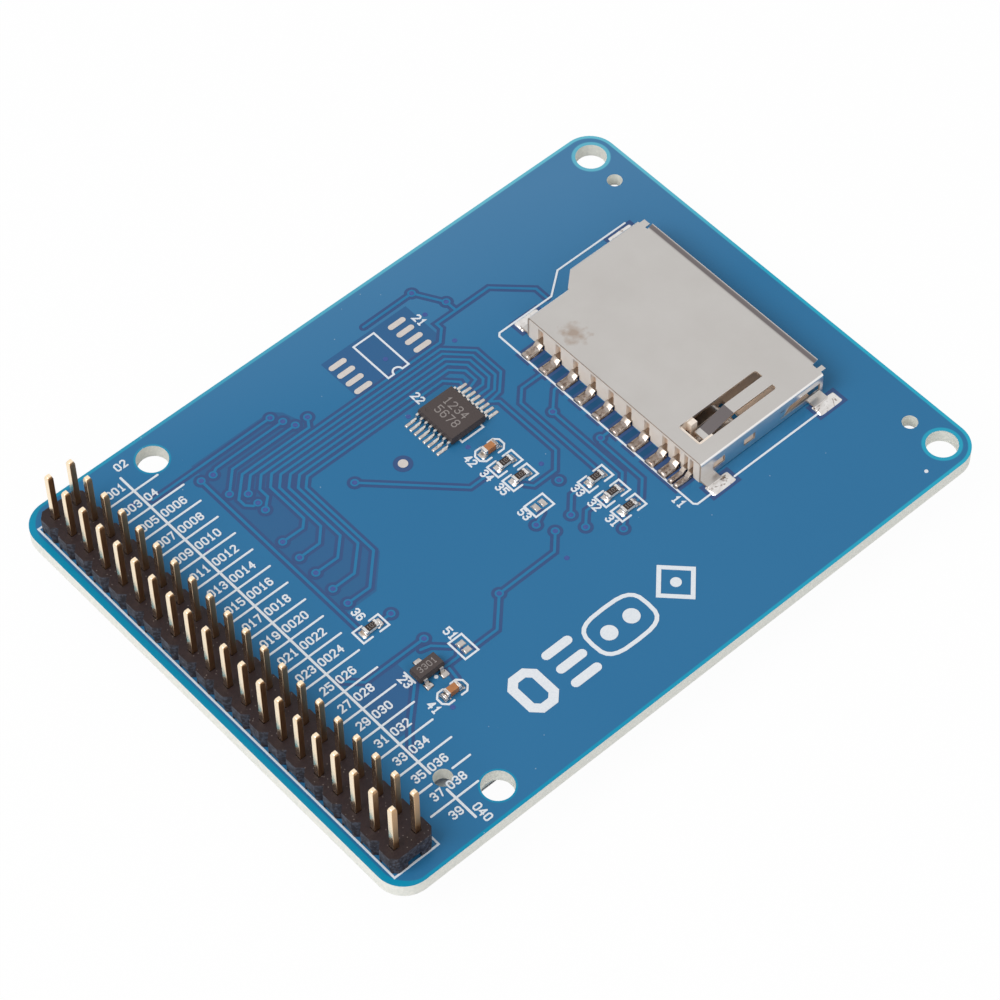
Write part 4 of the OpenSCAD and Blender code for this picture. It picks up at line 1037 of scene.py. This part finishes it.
# %% Solder and leads
def reflowed_solder(name, dark, light, flux, crinkle):
    """Tin solder after reflow: bright and smooth, with a crinkled skin and brown streaks of burnt flux."""
    material, tree = new_material(name, Metallic=1.0)
    place = place_in_mm(tree)
    ripple = noise(tree, 0.7, 1.5, place, Distortion=0.6)
    streak = noise(tree, 0.8, 2.0, place, Distortion=1.5)
    tone = between(tree, ripple, dark, light)
    burnt = ramp(tree, streak, 0.6 - flux, 0.72 - flux, 0.0, 0.7)
    streaked = between(tree, burnt, tone, "6e5a50")
    rough = ramp(tree, ripple, 0, 1, 0.08, 0.22)
    painted(tree, Base_Color=streaked, Roughness=rough, Normal=dented(tree, ripple, crinkle, 0.1))
    return material


def matte_tin_plate():
    """Matt tin on copper lead frames: pale grey metal with a fine crystalline skin."""
    return grained("matte_tin_plate", 0.15, 3.0, ("c2bdb7", "e2dfdb"), (0.22, 0.4), (0.2, 0.02),
                   Metallic=1.0)


def levelled_solder_pad():
    """A bare pad under hot-air levelled solder: flat, pale and silky."""
    return grained("levelled_solder_pad", 0.8, 2.0, ("c6beb8", "d8d2cd"), (0.3, 0.45), Metallic=1.0)


solder = reflowed_solder("reflowed_solder", "c9c4c0", "efedeb", 0.02, 0.5)
tail_solder = reflowed_solder("fluxed_solder", "85776f", "c4bab3", 0.07, 0.5)
fine_solder = reflowed_solder("fine_solder", "a59d98", "dcd7d3", 0.0, 0.12)
tin = matte_tin_plate()
dress("header_solder", solder)
dress("touch_controller_leads", tin)
dress("regulator_leads", tin)
dress("bare_pads", levelled_solder_pad())

# %% Solder that has flowed
def along_tail(u):
    """Along a contact's tail: a bead at its end, a hollow, and a climb towards the moulding."""
    return 0.31 + 0.1 * math.exp(-((u - 0.14) / 0.1) ** 2) + 0.36 * max(0, (u - 0.6) / 0.4) ** 2


def dome(u):
    """The same height all along, rounded only at the ends."""
    return 1.0


def wedge(u):
    """Against the end of a chip part, whose cap stands a little past the middle of its pad."""
    return min(1.0, u / 0.56) ** 1.5


def mirrored(profile):
    """The same profile from the other end."""
    return lambda u: profile(1 - u)


tails = bmesh.new()
feet = bmesh.new()
for xs, ys, zs in socket_pads:
    if xs[0] < TAILS_END:
        add_mound(tails, xs, ys, 1.0, along_tail)
    else:
        add_mound(feet, xs, ys, 0.2, dome)
piece = piece_from(tails, "tail_solder", tail_solder, smooth=True)
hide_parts("card_solder")
piece_from(feet, "foot_solder", solder, smooth=True)

chip_centres = [centre_mm(node)[0] for node in resistors + capacitors]
joints = bmesh.new()
for xs, ys, zs in boxes_of_parts("smd_solder"):
    height = zs[1] - TOP / MM
    middle = sum(xs) / 2
    if height > 0.2:
        chip = min(chip_centres, key=lambda x: abs(x - middle))
        add_mound(joints, xs, ys, height, wedge if chip > middle else mirrored(wedge))
    else:
        add_mound(joints, xs, ys, 0.15 if ys[1] - ys[0] < 0.5 else 0.24, dome)
piece = piece_from(joints, "chip_solder", fine_solder, smooth=True)
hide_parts("smd_solder")

joints = bmesh.new()
for xs, ys, zs in flat_pads:
    if xs[1] - xs[0] < 0.95:
        add_mound(joints, xs, ys, 0.2, dome)
piece_from(joints, "jumper_solder", fine_solder, smooth=True)

# %% Chips
def moulded_epoxy():
    """Black transfer-moulded epoxy: charcoal and matt, with a fine spark-eroded grain of 0.1 mm."""
    return grained("moulded_epoxy", 0.1, 4.0, ("3d3534", "524846"), (0.48, 0.7), (0.35, 0.02), IOR=1.55,
                   Specular_IOR_Level=0.3)


def sintered_alumina():
    """White alumina: the chalky body of a chip resistor."""
    return grained("sintered_alumina", 0.1, 3.0, ("d8d6d2", "efeeea"), Roughness=0.6, IOR=1.7)


def resistor_glaze():
    """Dark epoxy-glass overcoat on the resistor: brown-black with a soft gloss."""
    return grained("resistor_glaze", 0.2, 3.0, ("251b17", "3a2d27"), Roughness=0.4, IOR=1.55,
                   Specular_IOR_Level=0.25)


def fired_capacitor_ceramic():
    """Barium titanate: a tan ceramic, smooth and slightly waxy."""
    return grained("fired_capacitor_ceramic", 0.4, 3.0, ("9a5c2c", "bd7e48"), Roughness=0.38, IOR=1.6)


epoxy = moulded_epoxy()
eased("touch_controller", 0.05, epoxy)
eased("regulator", 0.05, epoxy)
alumina = sintered_alumina()
tan = fired_capacitor_ceramic()
for node in resistors:
    dress(node, alumina)
for node in capacitors:
    dress(node, tan)
dress("resistor_coats", resistor_glaze())
eased("chip_end_caps", 0.04, solder)

# %% Laser marks on the chips
def laser_mark():
    """A laser lightens the epoxy to a fine matt grey, with no thickness to speak of."""
    return grained("laser_mark", 0.08, 2.0, ("7d7573", "9e9794"), Roughness=0.7, IOR=1.5)


chip_marks = bmesh.new()
chip_numbers = [("touch_controller", "1234", 0.15, 1.65, 1.05, 0.11, True),
                ("touch_controller", "5678", -1.15, 1.45, 1.05, 0.11, True),
                ("regulator", "3301", -1.05, -0.35, 0.72, 0.08, False)]
for node, text, dx, dy, size, width, turned in chip_numbers:
    x, y = centre_mm(node)
    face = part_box(node)[1].z
    add_number(chip_marks, text, x + dx, y + dy, size, width, face - 0.01 * MM, face + 0.004 * MM, turned)
mark_finish = laser_mark()
piece_from(chip_marks, "laser_marks", mark_finish)

value_marks = bmesh.new()
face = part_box("resistor_coats")[1].z
for node in resistors:
    x, y = centre_mm(node)
    add_number(value_marks, "102", x - 0.4, y - 0.23, 0.46, 0.045, face - 0.01 * MM, face + 0.005 * MM)
piece_from(value_marks, "resistor_values", mark_finish)

# %% [markdown]
# ## The display on the other side
#
# Under the board hangs the display: a touch panel of film and glass in front, the liquid-crystal cell
# behind it, then the lit stack in its frame. Switched off, the cell is nearly black behind its polariser,
# and the touch film lays a faint grey haze over it. The films are clear materials, so the real depth
# between film, glass and cell shows, and only the thin parts that stop light are opaque.

# %% Clear parts
def hard_coated_pet():
    """Polyester touch film with a matt hard coat: clear, with a faint haze that softens reflections."""
    return grained("hard_coated_pet", 0.3, 2.0, rough=(0.06, 0.16), Base_Color=linear("eef2f1"),
                   Transmission_Weight=1.0, IOR=1.57)


def float_glass():
    """Thin soda-lime glass: clear, faintly green, polished, and frosted white at its ground edges."""
    material, tree = new_material("float_glass", IOR=1.52)
    smear = noise(tree, 12, 3.0)
    polished = ramp(tree, smear, 0, 1, 0.0, 0.05)
    upright = face_normal(tree)
    facing = calc(tree, "ABSOLUTE", upright["Z"])
    clear = ramp(tree, facing, 0.3, 0.7, 0.15, 1.0)
    ground = ramp(tree, facing, 0.3, 0.7, 0.6, 0.0)
    rough = calc(tree, "MAXIMUM", polished, ground)
    painted(tree, Base_Color=linear("e9f4ef"), Transmission_Weight=clear, Roughness=rough)
    return material


def dark_polariser():
    """Iodine-dyed polariser over an unlit cell: nearly black, slightly green, satin."""
    return grained("dark_polariser", 18, 2.0, ("1b2120", "232b29"), Roughness=0.32, IOR=1.5)


def edge_lit_acrylic():
    """Cast acrylic light guide: clear with a frosted edge."""
    return grained("edge_lit_acrylic", 0.2, 2.0, rough=(0.08, 0.25), Base_Color=linear("f4f7f6"),
                   Transmission_Weight=1.0, IOR=1.49)


print("clear finishes ready")

# %% Opaque parts of the display
def black_adhesive_tape():
    """Black polyester tape: matt, with a faint crepe of 0.4 mm."""
    return grained("black_adhesive_tape", 0.4, 3.0, ("141415", "202022"), dent=(0.3, 0.03), Roughness=0.7,
                   IOR=1.5)


def amber_polyimide():
    """Flexible circuit: amber polyimide over copper lines 0.5 mm apart, glossy."""
    material, tree = new_material("amber_polyimide", Roughness=0.3, IOR=1.7)
    place = place_in_mm(tree)
    split = split_xyz(tree, place)
    lines = calc(tree, "MULTIPLY", split["Y"], 2 * math.pi / 0.5)
    wave = calc(tree, "SINE", lines)
    copper = ramp(tree, wave, -0.2, 0.2, 0, 1, soft=True)
    tone = between(tree, copper, "8a4f14", "b9762c")
    painted(tree, Base_Color=tone, Normal=dented(tree, wave, 0.2, 0.01))
    return material


def etched_silicon():
    """The back of a silicon die: a dark grey semi-mirror."""
    return grained("etched_silicon", 0.3, 3.0, rough=(0.15, 0.3), Base_Color=linear("62646a"), Metallic=1.0)


def optical_film():
    """Prism and diffuser film: translucent white with a silky sheen."""
    material, tree = new_material("optical_film", Roughness=0.4, IOR=1.55, Transmission_Weight=0.4)
    place = place_in_mm(tree)
    split = split_xyz(tree, place)
    ridge = calc(tree, "MULTIPLY", split["Y"], 2 * math.pi / 0.3)
    wave = calc(tree, "SINE", ridge)
    painted(tree, Base_Color=linear("e6eaec"), Normal=dented(tree, wave, 0.15, 0.02))
    return material


def white_polyester():
    """White reflector film: bright, smooth and even."""
    return grained("white_polyester", 3, 2.0, ("e8eaec", "f3f4f5"), Roughness=0.45, IOR=1.6)


def phosphor_resin():
    """Yellow phosphor in silicone: the face of a white lamp chip when it is off."""
    return grained("phosphor_resin", 0.3, 2.0, ("e3c63c", "f0dc74"), Roughness=0.35, IOR=1.45)


def white_polycarbonate():
    """Moulded white polycarbonate frame: opaque, satin, with a fine grain."""
    return grained("white_polycarbonate", 0.3, 4.0, ("dfe1e2", "eceded"), dent=(0.2, 0.02), Roughness=0.5,
                   IOR=1.58)


def rolled_stainless_tray():
    """Thin rolled stainless steel with fine lines along it, and a dull white reflector sheet on its back."""
    material, tree = new_material("rolled_stainless_tray")
    stretch = vector(tree, "MULTIPLY", place_in_mm(tree), (0.05, 1, 1))
    lines = noise(tree, 0.12, 3.0, stretch)
    tone = between(tree, lines, "b6b7b7", "d0d0cf")
    rough = ramp(tree, lines, 0, 1, 0.38, 0.55)
    upright = face_normal(tree)
    steel = ramp(tree, upright["Z"], 0.6, 0.8, 1.0, 0.0)
    sheeted = between(tree, steel, "ececea", tone)
    painted(tree, Base_Color=sheeted, Metallic=steel, Roughness=rough,
            Normal=dented(tree, lines, 0.15, 0.02))
    return material


def white_foam_tape():
    """Double-sided foam tape seen at its edge: soft, white and porous, with cells of 0.2 mm."""
    material, tree = new_material("white_foam_tape", Roughness=0.9, IOR=1.45)
    cells = add_node(tree, "TexVoronoi", inputs={"Vector": place_in_mm(tree), "Scale": 1 / 0.2})
    tone = between(tree, cells.outputs["Distance"], "c9c9c6", "f2f2ef")
    painted(tree, Base_Color=tone, Normal=dented(tree, cells.outputs["Distance"], 0.5, 0.05))
    return material


print("opaque display finishes ready")

# %% Dress the display
display_finish = {
    "touch_film": hard_coated_pet(),
    "black_tape": black_adhesive_tape(),
    "display_glass": float_glass(),
    "flex_film": amber_polyimide(),
    "polarizer_film": dark_polariser(),
    "silicon": etched_silicon(),
    "optic_film": optical_film(),
    "white_film": white_polyester(),
    "light_guide_acrylic": edge_lit_acrylic(),
    "led_resin": phosphor_resin(),
    "frame_plastic": white_polycarbonate(),
    "tray_steel": rolled_stainless_tray(),
    "white_tape": white_foam_tape(),
}
for name in nodes:
    if slot_of[name] in display_finish:
        dress(name, display_finish[slot_of[name]])
dress("display_flex_solder", solder)
print("dressed", len(nodes), "packed solids")

# %% Sizes, and the end
final_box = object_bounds()
size = {"cad_box": [list(corner) for corner in cad_box],
        "visual_box": [list(corner) for corner in final_box]}
print(size)
